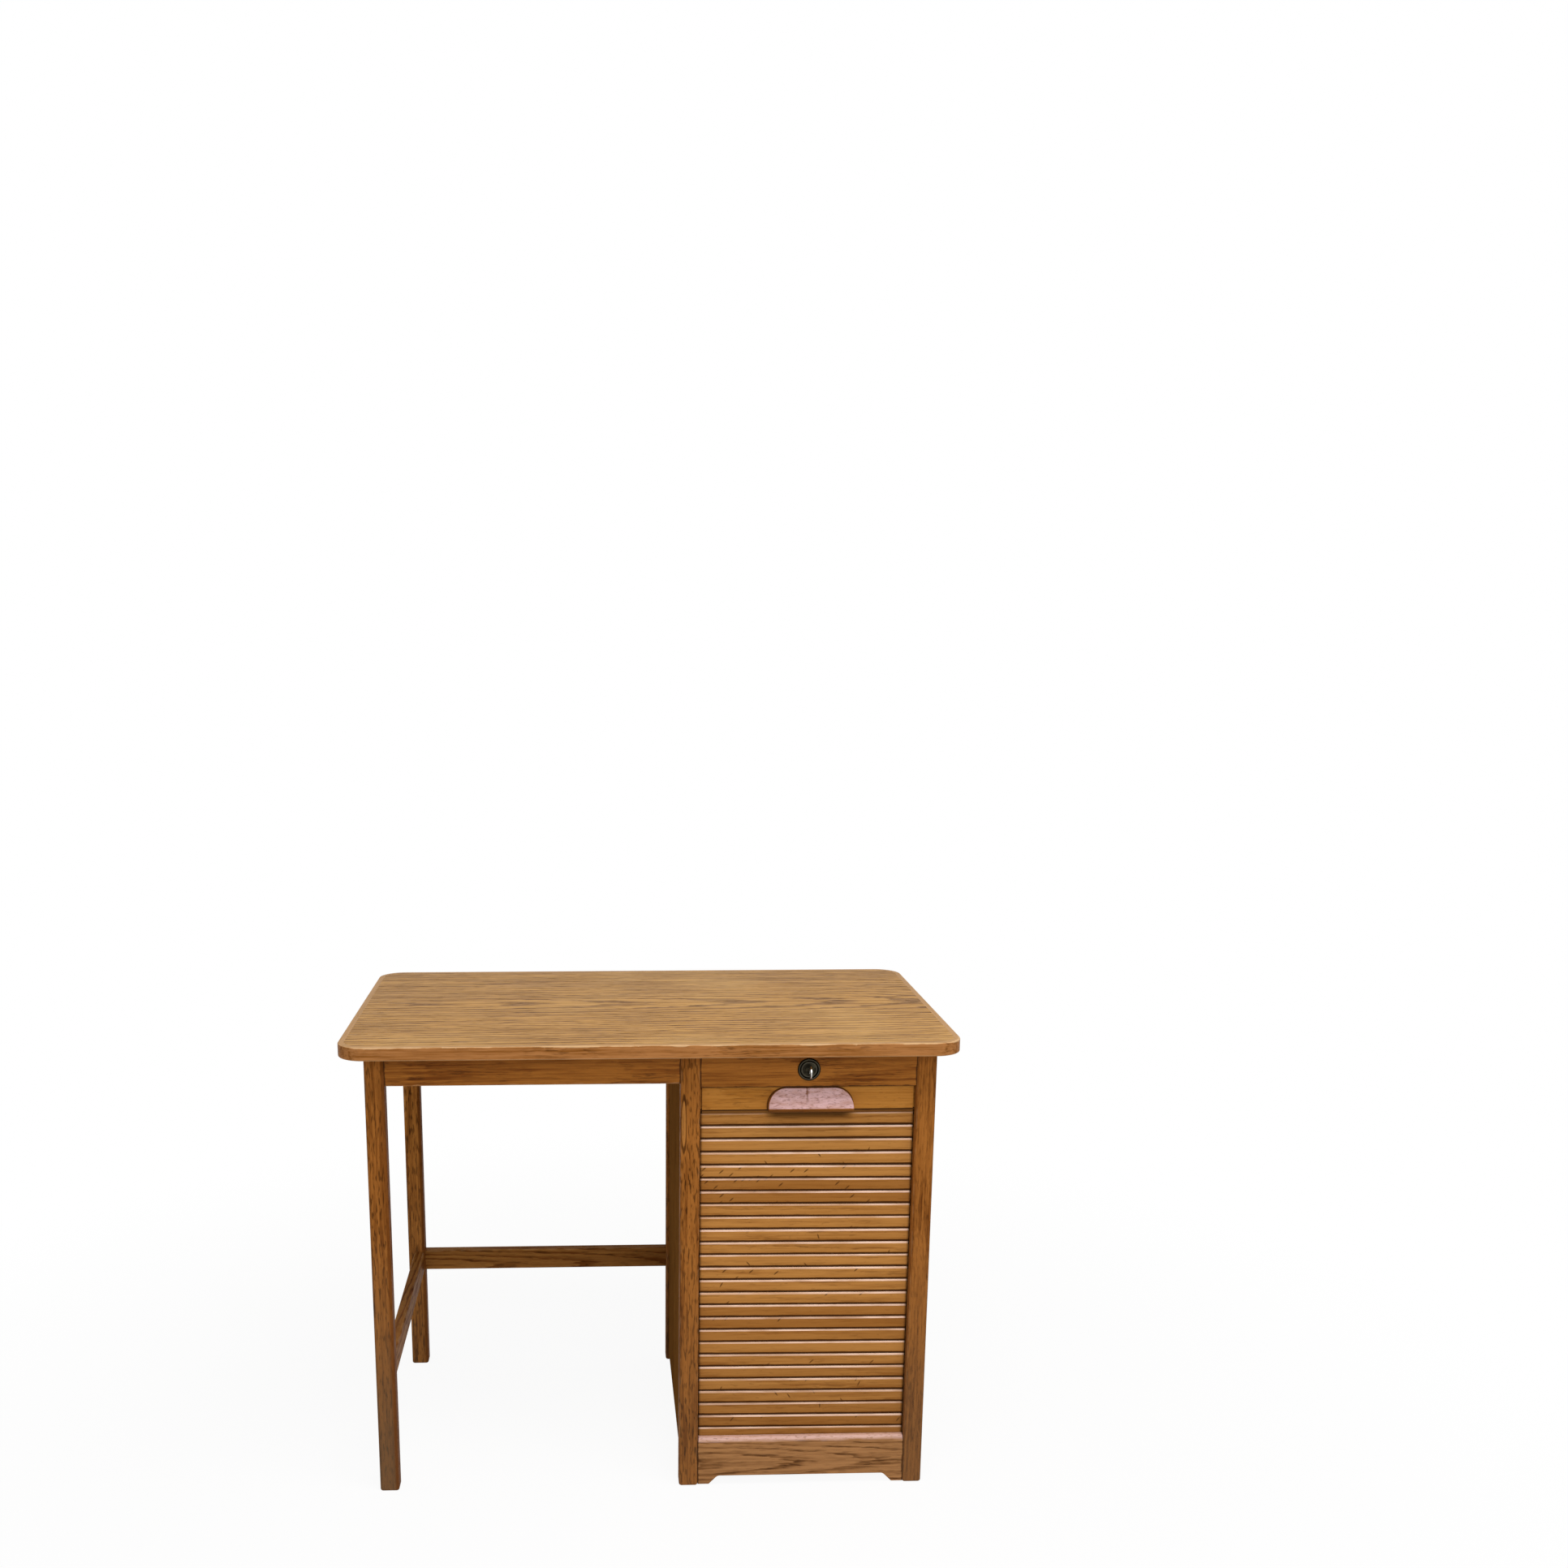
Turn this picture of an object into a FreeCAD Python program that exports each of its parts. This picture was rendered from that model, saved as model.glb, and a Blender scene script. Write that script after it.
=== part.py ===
import FreeCAD, Part
import math
import os
import re
import Sketcher

# Writing desk with an open leg frame on the left and, on the right, a pedestal closed by a
# slatted shutter that slides down its side grooves and back under the pedestal floor.
# Origin: on the floor under the middle of the top. +X right, +Y to the back, +Z up. Millimetres.

SIZES = {
    # Top
    "top_width": 1000, "top_depth": 600, "desk_height": 786, "top_thickness": 22,
    "top_corner_radius": 45, "lipping_width": 10, "arris_radius": 2,
    "left_overhang": 40, "right_overhang": 36, "front_overhang": 36, "back_overhang": 36,
    # Legs, posts, aprons and stretchers
    "leg_section": 32, "leg_edge_radius": 5, "foot_radius": 3.5, "pedestal_width": 416,
    "apron_height": 52, "apron_thickness": 18, "apron_recess": 4,
    "stretcher_height": 40, "stretcher_thickness": 18, "stretcher_bottom": 197,
    "side_stretcher_recess": 12, "back_stretcher_recess": 6,
    "tenon_length": 9, "tenon_thickness": 8, "tenon_shoulder": 6, "joint_clearance": 0.1,
    # Pedestal panels and linings
    "panel_thickness": 8, "panel_recess": 6, "panel_groove": 8, "toe_gap": 17,
    "back_panel_thickness": 6, "back_panel_recess": 14,
    # Lock rail and kick board
    "lock_rail_height": 59, "lock_rail_thickness": 16, "lock_rail_recess": 3,
    "kick_height": 86, "kick_recess": 2, "kick_round": 9, "kick_clearance": 1,
    "kick_floor_gap": 2, "toe_width": 19, "toe_slope": 15, "toe_round": 9,
    # Shutter and its groove
    "lead_gap": 1, "lead_height": 45, "lead_recess": 11, "bead_height": 5.6, "bead_width": 1.4,
    "bead_depth": 1.2, "slat_pitch": 22.3, "slat_gap": 0.8, "slat_recess": 15,
    "slat_thickness": 10, "slat_bevel": 3, "slat_bottom_round": 1.5, "shoulder_gap": 3.5,
    "tongue_thickness": 6, "tongue_height": 10, "tongue_reach": 8, "tongue_end_gap": 0.5,
    "tongue_trim": 2, "track_clearance": 0.5, "bend_radius": 42, "run_height": 30,
    "back_run_inset": 26, "canvas_thickness": 1, "canvas_lap": 20, "canvas_inset": 12,
    "tail_slats": 2,
    # Shutter pull
    "pull_width": 139, "pull_corner_radius": 26, "pull_reach": 18, "pull_top_thickness": 2.5,
    "pull_nose": 6, "pull_top_gap": 2, "pull_offset": 4, "pull_edge_radius": 1.2,
    "hollow_depth": 7, "hollow_front_wall": 5, "hollow_back_wall": 4, "hollow_end_wall": 16,
    # Inside of the pedestal
    "floor_thickness": 16, "floor_rise": 8, "curtain_clearance": 3, "shelf_thickness": 12,
    "shelf_setback": 7, "shelf_clearance": 0.2, "bay_count": 3, "false_back_thickness": 6,
    "false_back_clearance": 8, "cleat_section": 12, "cleat_setback": 40,
    # Lock and key
    "rose_radius": 18.5, "rose_base": 1.5, "rose_thickness": 3, "rose_ring_width": 3,
    "case_radius": 9, "plug_radius": 6.5, "plug_proud": 1, "turn_clearance": 0.2,
    "nut_radius": 13, "nut_thickness": 5, "cam_thickness": 3, "cam_width": 12, "cam_reach": 27,
    "key_thickness": 2.2, "blade_height": 8, "blade_length": 22, "key_neck": 6, "bow_radius": 10,
    "bow_hole_radius": 3.5, "keeper_width": 14, "keeper_thickness": 2.5, "keeper_foot": 22,
    "keeper_clearance": 2,
    # Screws and fixing blocks
    "screw_radius": 2, "screw_head_radius": 3.8, "screw_head_height": 2, "screw_bite": 10,
    "cam_screw_bite": 6, "block_length": 40, "block_section": 18, "block_inset": 90,
    "keeper_screw_edge": 5, "pull_screw_spacing": 60, "pull_screw_drop": 11, "pull_screw_bite": 5,
    "cleat_screw_inset": 40,
    "overrun": 5,
}

PLACES = {
    "frame_top": "desk_height - top_thickness",
    "left_face": "-top_width / 2 + left_overhang",
    "right_face": "top_width / 2 - right_overhang",
    "front_face": "-top_depth / 2 + front_overhang",
    "back_face": "top_depth / 2 - back_overhang",
    "leg_inner": "left_face + leg_section",
    "front_inner": "front_face + leg_section",
    "back_inner": "back_face - leg_section",
    "pedestal_left": "right_face - pedestal_width",
    "opening_left": "pedestal_left + leg_section",
    "opening_right": "right_face - leg_section",
    "opening_centre": "(opening_left + opening_right) / 2",
    "apron_bottom": "frame_top - apron_height",
    "stretcher_top": "stretcher_bottom + stretcher_height",
    "rail_front": "front_face + lock_rail_recess",
    "rail_back": "rail_front + lock_rail_thickness",
    "rail_bottom": "frame_top - lock_rail_height",
    "left_lining": "pedestal_left + panel_recess + panel_thickness",
    "right_lining": "right_face - panel_recess - panel_thickness",
    "kick_front": "front_face + kick_recess",
    "kick_back": "front_face + slat_recess - kick_clearance",
    "slat_centre": "front_face + slat_recess + slat_thickness / 2",
    "slat_back": "slat_centre + slat_thickness / 2",
    "lead_front": "front_face + lead_recess",
    "lead_top": "rail_bottom - lead_gap",
    "lead_bottom": "lead_top - lead_height",
    "slat_left": "opening_left + shoulder_gap",
    "slat_right": "opening_right - shoulder_gap",
    "track_width": "tongue_thickness + 2 * track_clearance",
    "track_depth": "tongue_reach + tongue_end_gap",
    "bend_height": "run_height + bend_radius",
    "bend_centre": "slat_centre + bend_radius",
    "back_run": "back_inner - back_run_inset",
    "canvas_radius": "bend_radius - slat_thickness / 2",
    "straight_run": "lead_bottom - bend_height",
    "slat_count": "floor(straight_run / slat_pitch) + tail_slats",
    "tail_angle": "(slat_count * slat_pitch - straight_run) / canvas_radius * 180 / pi",
    "pull_centre": "opening_centre + pull_offset",
    "pull_top": "lead_top - pull_top_gap",
    "pull_bottom": "lead_bottom + bead_height + bead_width / 2",
    "floor_top": "kick_height + floor_rise",
    "floor_front": "slat_back + canvas_thickness + curtain_clearance",
    "shelf_front": "floor_front + shelf_setback",
    "false_back_rear": "back_run - slat_thickness / 2 - canvas_thickness - false_back_clearance",
    "false_back_front": "false_back_rear - false_back_thickness",
    "shelf_step": "(rail_bottom - floor_top) / bay_count",
    "lower_shelf_top": "floor_top + shelf_step",
    "upper_shelf_top": "lower_shelf_top + shelf_step",
    "cleat_front": "shelf_front + cleat_setback",
    "cleat_rear": "false_back_front - cleat_setback",
    "lock_height": "frame_top - lock_rail_height / 2",
    "rose_front": "rail_front - rose_thickness",
    "plug_front": "rose_front - plug_proud",
    "keeper_left": "opening_centre + nut_radius + keeper_clearance",
    "keeper_back": "slat_back + keeper_thickness",
    "cam_front": "max(keeper_back, rail_back + nut_thickness) + keeper_clearance",
    "cam_back": "cam_front + cam_thickness",
    "case_back": "cam_front - turn_clearance",
    "lip_bottom": "lock_height + cam_width / 2 + keeper_clearance",
    "pull_screw_height": "pull_top - pull_screw_drop",
}

TOUCH = 1e-6

doc = FreeCAD.newDocument("tambour_pedestal_desk")
sheet = doc.addObject("Spreadsheet::Sheet", "Sizes")
nodes = {}


def fill_sheet():
    """Driving sizes as plain numbers, then the places worked out from them as formulas."""
    cells = [(name, str(size)) for name, size in SIZES.items()]
    cells += [(name, "=" + formula) for name, formula in PLACES.items()]
    for row, (name, content) in enumerate(cells, 1):
        sheet.set(f"A{row}", name)
        sheet.set(f"B{row}", content)
        sheet.setAlias(f"B{row}", name)
    doc.recompute()


def number(expression):
    return float(sheet.evalExpression(expression))


def bind(item, setting, expression):
    """Tie one setting of a document object to an expression over the sheet's names."""
    def cell(match):
        word = match.group()
        return "Sizes." + word if word in SIZES or word in PLACES else word
    item.setExpression(setting, re.sub(r"[a-z_]+", cell, expression))


def body(label):
    made = doc.addObject("PartDesign::Body", label)
    made.Label = label
    made.AllowCompound = True
    return made


def keep(label, made):
    """Register a finished piece under its node name."""
    made.Label = label
    nodes[label] = made
    return made


def new_sketch(owner, plane, level):
    """Empty sketch on one of the body's own planes, moved to a level along +X, +Y or +Z."""
    outline = owner.newObject("Sketcher::SketchObject", "Outline")
    base = [item for item in owner.Origin.OriginFeatures if item.Role == plane + "_Plane"][0]
    outline.AttachmentSupport = (base, [""])
    outline.MapMode = "FlatFace"
    bind(outline, "AttachmentOffset.Base.z", f"-({level})" if plane == "XZ" else level)
    return outline


def fix_value(outline, constraint, expression):
    index = outline.addConstraint(constraint)
    bind(outline, f"Constraints[{index}]", expression)


def fix_point(outline, geometry, corner, point):
    """Hold one point of a sketch at its two distances from the origin."""
    for kind, distance in zip(("DistanceX", "DistanceY"), point):
        rule = Sketcher.Constraint(kind, -1, 1, geometry, corner, number(distance))
        fix_value(outline, rule, distance)


def polygon(owner, plane, points, level):
    outline = new_sketch(owner, plane, level)
    corners = [FreeCAD.Vector(number(u), number(v), 0) for u, v in points]
    for start, end in zip(corners, corners[1:] + corners[:1]):
        outline.addGeometry(Part.LineSegment(start, end))
    for index, point in enumerate(points):
        following = (index + 1) % len(points)
        outline.addConstraint(Sketcher.Constraint("Coincident", index, 2, following, 1))
        fix_point(outline, index, 1, point)
    return outline


def circles(owner, plane, centres, radius, level):
    outline = new_sketch(owner, plane, level)
    for u, v in centres:
        middle = FreeCAD.Vector(number(u), number(v), 0)
        ring = outline.addGeometry(Part.Circle(middle, FreeCAD.Vector(0, 0, 1), number(radius)))
        fix_point(outline, ring, 3, (u, v))
        fix_value(outline, Sketcher.Constraint("Radius", ring, number(radius)), radius)
    return outline


def pad(owner, plane, profile, start, end):
    """Solid from start to end along the plane's +X, +Y or +Z."""
    feature = owner.newObject("PartDesign::Pad", "Pad")
    feature.Profile = profile
    feature.Reversed = plane == "XZ"
    bind(feature, "Length", f"({end}) - ({start})")


def pocket(owner, plane, profile, start, end):
    """Cut from start to end along the plane's +X, +Y or +Z."""
    feature = owner.newObject("PartDesign::Pocket", "Pocket")
    feature.Profile = profile
    feature.Reversed = plane != "XZ"
    bind(feature, "Length", f"({end}) - ({start})")


def rectangle(u, v):
    return [(u[0], v[0]), (u[1], v[0]), (u[1], v[1]), (u[0], v[1])]


def block(owner, space):
    x, y, z = space
    pad(owner, "XY", polygon(owner, "XY", rectangle(x, y), z[0]), *z)


def cut_block(owner, space):
    x, y, z = space
    pocket(owner, "XY", polygon(owner, "XY", rectangle(x, y), z[0]), *z)


def prism(owner, plane, points, start, end):
    pad(owner, plane, polygon(owner, plane, points, start), start, end)


def cut_prism(owner, plane, points, start, end):
    pocket(owner, plane, polygon(owner, plane, points, start), start, end)


def rods(owner, plane, centres, radius, start, end):
    pad(owner, plane, circles(owner, plane, centres, radius, start), start, end)


def bores(owner, plane, centres, radius, start, end):
    pocket(owner, plane, circles(owner, plane, centres, radius, start), start, end)


def grown(space, room):
    return [(f"{low} - {room}", f"{high} + {room}") for low, high in space]


def housing(owner, space):
    """Mortise or groove for a tenon or panel edge, with the joints' clearance all round."""
    cut_block(owner, grown(space, "joint_clearance"))


def dress_edges(owner, kind, setting, size, chosen):
    """Fillet or chamfer those edges of the body, as it is so far, that the test picks."""
    doc.recompute()
    base = owner.Tip
    picked = [f"Edge{index}" for index, edge in enumerate(base.Shape.Edges, 1) if chosen(edge)]
    feature = owner.newObject("PartDesign::" + kind, kind)
    feature.Base = (base, picked)
    bind(feature, setting, size)


def round_edges(owner, radius, chosen):
    dress_edges(owner, "Fillet", "Radius", radius, chosen)


def bevel_edges(owner, size, chosen):
    dress_edges(owner, "Chamfer", "Size", size, chosen)


def along(axis, *tests):
    """Picks straight edges along one axis that also pass the tests of their box."""
    def chosen(edge):
        box = edge.BoundBox
        spans = {"X": box.XLength, "Y": box.YLength, "Z": box.ZLength}
        straight = all(span < TOUCH for name, span in spans.items() if name != axis)
        return straight and all(test(box) for test in tests)
    return chosen


def near(value, expression):
    return abs(value - number(expression)) < TOUCH


def boolean(kind, label, base, tool):
    """Part::Cut or Part::Common of two finished shapes."""
    made = doc.addObject("Part::" + kind, label)
    made.Base = base
    made.Tool = tool
    return made


def fixing_spots():
    """Places of the blocks that hold the top: two on each long apron, one on each lining."""
    left, right = "leg_inner + block_inset", "pedestal_left - block_inset"
    front = "front_face + apron_recess + apron_thickness + block_section / 2"
    back = "back_face - apron_recess - apron_thickness - block_section / 2"
    middle = "(front_face + back_face) / 2"
    spots = [(x, y, "block_length", "block_section") for x in (left, right) for y in (front, back)]
    for x in ("opening_left + block_section / 2", "opening_right - block_section / 2"):
        spots.append((x, middle, "block_section", "block_length"))
    return spots


def top_core(label):
    """The veneered panel inside the lipping."""
    core = body(label)
    half_x, half_y = "(top_width / 2 - lipping_width)", "(top_depth / 2 - lipping_width)"
    x, y = (f"-{half_x}", half_x), (f"-{half_y}", half_y)
    block(core, (x, y, ("frame_top", "desk_height")))
    round_edges(core, "top_corner_radius - lipping_width", along("Z"))
    return core


def make_top():
    panel = keep("top_panel", top_core("top_panel"))
    centres = [(x, y) for x, y, _, _ in fixing_spots()]
    bores(panel, "XY", centres, "screw_radius + joint_clearance",
          "frame_top", "frame_top + screw_bite + joint_clearance")

    blank = body("lipping_blank")
    x, y = ("-top_width / 2", "top_width / 2"), ("-top_depth / 2", "top_depth / 2")
    block(blank, (x, y, ("frame_top", "desk_height")))
    round_edges(blank, "top_corner_radius", along("Z"))
    round_edges(blank, "arris_radius", lambda edge: edge.BoundBox.ZLength < TOUCH)
    ring = boolean("Cut", "lipping_ring", blank, top_core("lipping_core"))

    # Each length of lipping runs to the mitre in the middle of its two rounded corners.
    near_x, near_y = "(top_width / 2 - top_corner_radius)", "(top_depth / 2 - top_corner_radius)"
    far_x, far_y = "(top_width / 2 + overrun)", "(top_depth / 2 + overrun)"
    for name, sign in (("front", "-"), ("back", "")):
        sector = [(f"-{near_x}", sign + near_y), (f"-{far_x}", sign + far_y),
                  (far_x, sign + far_y), (near_x, sign + near_y)]
        make_lipping(name, ring, sector)
    for name, sign in (("left", "-"), ("right", "")):
        sector = [(sign + near_x, f"-{near_y}"), (sign + far_x, f"-{far_y}"),
                  (sign + far_x, far_y), (sign + near_x, near_y)]
        make_lipping(name, ring, sector)


def make_lipping(name, ring, sector):
    wedge = body(f"{name}_mitre")
    prism(wedge, "XY", sector, "frame_top - overrun", "desk_height + overrun")
    keep(f"top_lipping_{name}", boolean("Common", f"top_lipping_{name}", ring, wedge))


def make_top_fixings():
    blocks = keep("top_fixing_blocks", body("top_fixing_blocks"))
    screws = keep("top_fixing_screws", body("top_fixing_screws"))
    bottom = "frame_top - block_section"
    for x, y, length, depth in fixing_spots():
        across = (f"{x} - {length} / 2", f"{x} + {length} / 2")
        deep = (f"{y} - {depth} / 2", f"{y} + {depth} / 2")
        block(blocks, (across, deep, (bottom, "frame_top")))
    centres = [(x, y) for x, y, _, _ in fixing_spots()]
    bores(blocks, "XY", centres, "screw_radius + joint_clearance", bottom, "frame_top")
    rods(screws, "XY", centres, "screw_radius", bottom, "frame_top + screw_bite")
    rods(screws, "XY", centres, "screw_head_radius", f"{bottom} - screw_head_height", bottom)


def post(label, x, y):
    """Square leg with rounded edges and a worn foot."""
    piece = body(label)
    block(piece, ((x, f"{x} + leg_section"), (y, f"{y} + leg_section"), ("0", "frame_top")))
    round_edges(piece, "leg_edge_radius", along("Z"))
    round_edges(piece, "min(foot_radius, leg_edge_radius - joint_clearance)",
                lambda edge: edge.BoundBox.ZMax < TOUCH)
    return piece


def tenon_space(axis, space):
    """Space of the bar that makes the tenons at both ends of a rail running along X or Y."""
    x, y, z = space
    run, cross = (x, y) if axis == "X" else (y, x)
    middle = f"({cross[0]} + {cross[1]}) / 2"
    run = (f"{run[0]} - tenon_length", f"{run[1]} + tenon_length")
    cross = (f"{middle} - tenon_thickness / 2", f"{middle} + tenon_thickness / 2")
    z = (f"{z[0]} + tenon_shoulder", f"{z[1]} - tenon_shoulder")
    return (run, cross, z) if axis == "X" else (cross, run, z)


def rail(label, axis, space, posts):
    """Rail between two posts, tenoned into both."""
    piece = keep(label, body(label))
    block(piece, space)
    round_edges(piece, "arris_radius", along(axis))
    block(piece, tenon_space(axis, space))
    for owner in posts:
        housing(owner, tenon_space(axis, space))
    return piece


def make_leg_frame(posts):
    front_leg = keep("left_front_leg", post("left_front_leg", "left_face", "front_face"))
    back_leg = keep("left_back_leg", post("left_back_leg", "left_face", "back_inner"))
    span_x, span_y = ("leg_inner", "pedestal_left"), ("front_inner", "back_inner")
    apron_z, stretcher_z = ("apron_bottom", "frame_top"), ("stretcher_bottom", "stretcher_top")

    inset = ("front_face + apron_recess", "front_face + apron_recess + apron_thickness")
    rail("front_apron", "X", (span_x, inset, apron_z), (front_leg, posts["left_front"]))
    inset = ("back_face - apron_recess - apron_thickness", "back_face - apron_recess")
    rail("back_apron", "X", (span_x, inset, apron_z), (back_leg, posts["left_back"]))
    inset = ("left_face + apron_recess", "left_face + apron_recess + apron_thickness")
    rail("left_side_apron", "Y", (inset, span_y, apron_z), (front_leg, back_leg))

    inset = ("left_face + side_stretcher_recess",
             "left_face + side_stretcher_recess + stretcher_thickness")
    rail("left_side_stretcher", "Y", (inset, span_y, stretcher_z), (front_leg, back_leg))
    inset = ("back_face - back_stretcher_recess - stretcher_thickness",
             "back_face - back_stretcher_recess")
    rail("back_stretcher", "X", (span_x, inset, stretcher_z), (back_leg, posts["left_back"]))


def make_panels(posts):
    """Side and back panels, let into grooves of the four posts."""
    z = ("toe_gap", "frame_top")
    y = ("front_inner - panel_groove", "back_inner + panel_groove")
    sides = {"left": ("pedestal_left + panel_recess", "left_lining"),
             "right": ("right_lining", "right_face - panel_recess")}
    for side, x in sides.items():
        panel = keep(f"{side}_side_panel", body(f"{side}_side_panel"))
        block(panel, (x, y, z))
        for end in ("front", "back"):
            housing(posts[f"{side}_{end}"], (x, y, z))

    x = ("opening_left - panel_groove", "opening_right + panel_groove")
    y = ("back_face - back_panel_recess - back_panel_thickness", "back_face - back_panel_recess")
    panel = keep("back_panel", body("back_panel"))
    block(panel, (x, y, z))
    for side in ("left", "right"):
        housing(posts[f"{side}_back"], (x, y, z))


def make_lock_rail(posts):
    space = (("opening_left", "opening_right"), ("rail_front", "rail_back"), ("rail_bottom", "frame_top"))
    piece = rail("lock_rail", "X", space, (posts["left_front"], posts["right_front"]))
    bores(piece, "XZ", [("opening_centre", "lock_height")], "case_radius + joint_clearance",
          "rail_front - overrun", "rail_back + overrun")


def make_kick_board(posts):
    """Plinth board with a rounded top and a bracket foot at each end."""
    left, right = "opening_left", "opening_right"
    y = ("kick_front", "kick_back")
    outline = [(left, "kick_floor_gap"), (f"{left} + toe_width", "kick_floor_gap"),
               (f"{left} + toe_width + toe_slope", "toe_gap"),
               (f"{right} - toe_width - toe_slope", "toe_gap"),
               (f"{right} - toe_width", "kick_floor_gap"), (right, "kick_floor_gap"),
               (right, "kick_height"), (left, "kick_height")]
    piece = keep("kick_board", body("kick_board"))
    prism(piece, "XZ", outline, *y)
    round_edges(piece, "toe_round", along("Y", lambda box: near(box.ZMin, "toe_gap")))
    round_edges(piece, "min(kick_round, kick_back - kick_front - joint_clearance)",
                along("X", lambda box: near(box.ZMin, "kick_height"),
                      lambda box: near(box.YMin, "kick_front")))
    space = tenon_space("X", ((left, right), y, ("toe_gap", "kick_height - kick_round")))
    block(piece, space)
    for side in ("left", "right"):
        housing(posts[f"{side}_front"], space)


def make_track():
    """Solid of the U-shaped groove: down the front, under the floor and up the back."""
    def bent(label, offset, top):
        tool = body(label)
        x = ("opening_left - track_depth", "opening_right + track_depth")
        y = (f"slat_centre - {offset}", f"back_run + {offset}")
        block(tool, (x, y, (f"run_height - {offset}", top)))
        round_edges(tool, f"bend_radius + {offset}",
                    along("X", lambda box: near(box.ZMin, f"run_height - {offset}")))
        return tool
    outer = bent("track_outside", "track_width / 2", "frame_top + overrun")
    inner = bent("track_inside", "(-track_width / 2)", "frame_top + 2 * overrun")
    return boolean("Cut", "track_groove", outer, inner)


def make_linings(track):
    """Boards between the side panels and the opening, grooved for the slats."""
    sides = {"left": ("left_lining", "opening_left"), "right": ("opening_right", "right_lining")}
    for side, x in sides.items():
        board = body(f"{side}_track_blank")
        block(board, (x, ("front_inner", "back_inner"), ("toe_gap", "frame_top")))
        bores(board, "YZ", cleat_screw_spots(), "screw_radius + joint_clearance",
              *cleat_screw_run(side, "screw_bite + joint_clearance"))
        keep(f"{side}_track_board", boolean("Cut", f"{side}_track_board", board, track))


def shelf_bottoms():
    return ("floor_top - floor_thickness", "lower_shelf_top - shelf_thickness",
            "upper_shelf_top - shelf_thickness")


def cleat_screw_spots():
    spots_y = ("cleat_front + cleat_screw_inset", "cleat_rear - cleat_screw_inset")
    return [(y, f"{bottom} - cleat_section / 2") for y in spots_y for bottom in shelf_bottoms()]


def cleat_screw_run(side, bite):
    """From the inner face of a cleat to the given depth in the lining, in +X order."""
    if side == "left":
        return f"opening_left - ({bite})", "opening_left + cleat_section"
    return "opening_right - cleat_section", f"opening_right + {bite}"


def make_inside():
    x = ("opening_left + shelf_clearance", "opening_right - shelf_clearance")
    boards = {"pedestal_floor": ("floor_front", "floor_top - floor_thickness", "floor_top"),
              "lower_shelf": ("shelf_front", "lower_shelf_top - shelf_thickness", "lower_shelf_top"),
              "upper_shelf": ("shelf_front", "upper_shelf_top - shelf_thickness", "upper_shelf_top")}
    for label, (front, bottom, top) in boards.items():
        board = keep(label, body(label))
        block(board, (x, (front, "false_back_front"), (bottom, top)))
        round_edges(board, "arris_radius", along("X", lambda box: near(box.YMin, front)))

    false_back = keep("false_back", body("false_back"))
    y = ("false_back_front", "false_back_rear")
    block(false_back, (x, y, ("floor_top - floor_thickness", "frame_top")))

    cleats = keep("shelf_cleats", body("shelf_cleats"))
    screws = keep("cleat_screws", body("cleat_screws"))
    ends = {"left": ("opening_left", "opening_left + cleat_section"),
            "right": ("opening_right - cleat_section", "opening_right")}
    for side, across in ends.items():
        for bottom in shelf_bottoms():
            block(cleats, (across, ("cleat_front", "cleat_rear"), (f"{bottom} - cleat_section", bottom)))
        bores(cleats, "YZ", cleat_screw_spots(), "screw_radius + joint_clearance", *across)
        rods(screws, "YZ", cleat_screw_spots(), "screw_radius", *cleat_screw_run(side, "screw_bite"))
        head = {"left": (across[1], f"{across[1]} + screw_head_height"),
                "right": (f"{across[0]} - screw_head_height", across[0])}[side]
        rods(screws, "YZ", cleat_screw_spots(), "screw_head_radius", *head)


def tongues(owner, y, z):
    """Thin ends of a slat, reaching into the grooves on both sides."""
    middle = f"({y[0]} + {y[1]}) / 2"
    x = ("opening_left - tongue_reach", "opening_right + tongue_reach")
    thin = (f"{middle} - tongue_thickness / 2", f"{middle} + tongue_thickness / 2")
    block(owner, (x, thin, z))


def make_lead_slat():
    """Wide top slat with a bead line above its lower edge."""
    slat = keep("lead_slat", body("lead_slat"))
    x, y, z = ("slat_left", "slat_right"), ("lead_front", "slat_back"), ("lead_bottom", "lead_top")
    block(slat, (x, y, z))
    round_edges(slat, "arris_radius", along("X", lambda box: near(box.YMin, "lead_front")))
    bead = ("lead_bottom + bead_height - bead_width / 2", "lead_bottom + bead_height + bead_width / 2")
    cut_block(slat, (x, ("lead_front - overrun", "lead_front + bead_depth"), bead))
    centred = ("slat_centre - tongue_thickness / 2", "slat_centre + tongue_thickness / 2")
    tongues(slat, centred, ("lead_bottom + tongue_trim", "lead_top - tongue_trim"))
    bores(slat, "XZ", pull_screw_spots(), "screw_radius + joint_clearance", "lead_front", "slat_back")
    bores(slat, "XZ", pull_screw_spots(), "screw_head_radius + joint_clearance",
          "slat_back - screw_head_height", "slat_back")
    bores(slat, "XZ", keeper_screw_spots(), "screw_radius + joint_clearance",
          "slat_back - screw_bite - joint_clearance", "slat_back")


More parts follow.
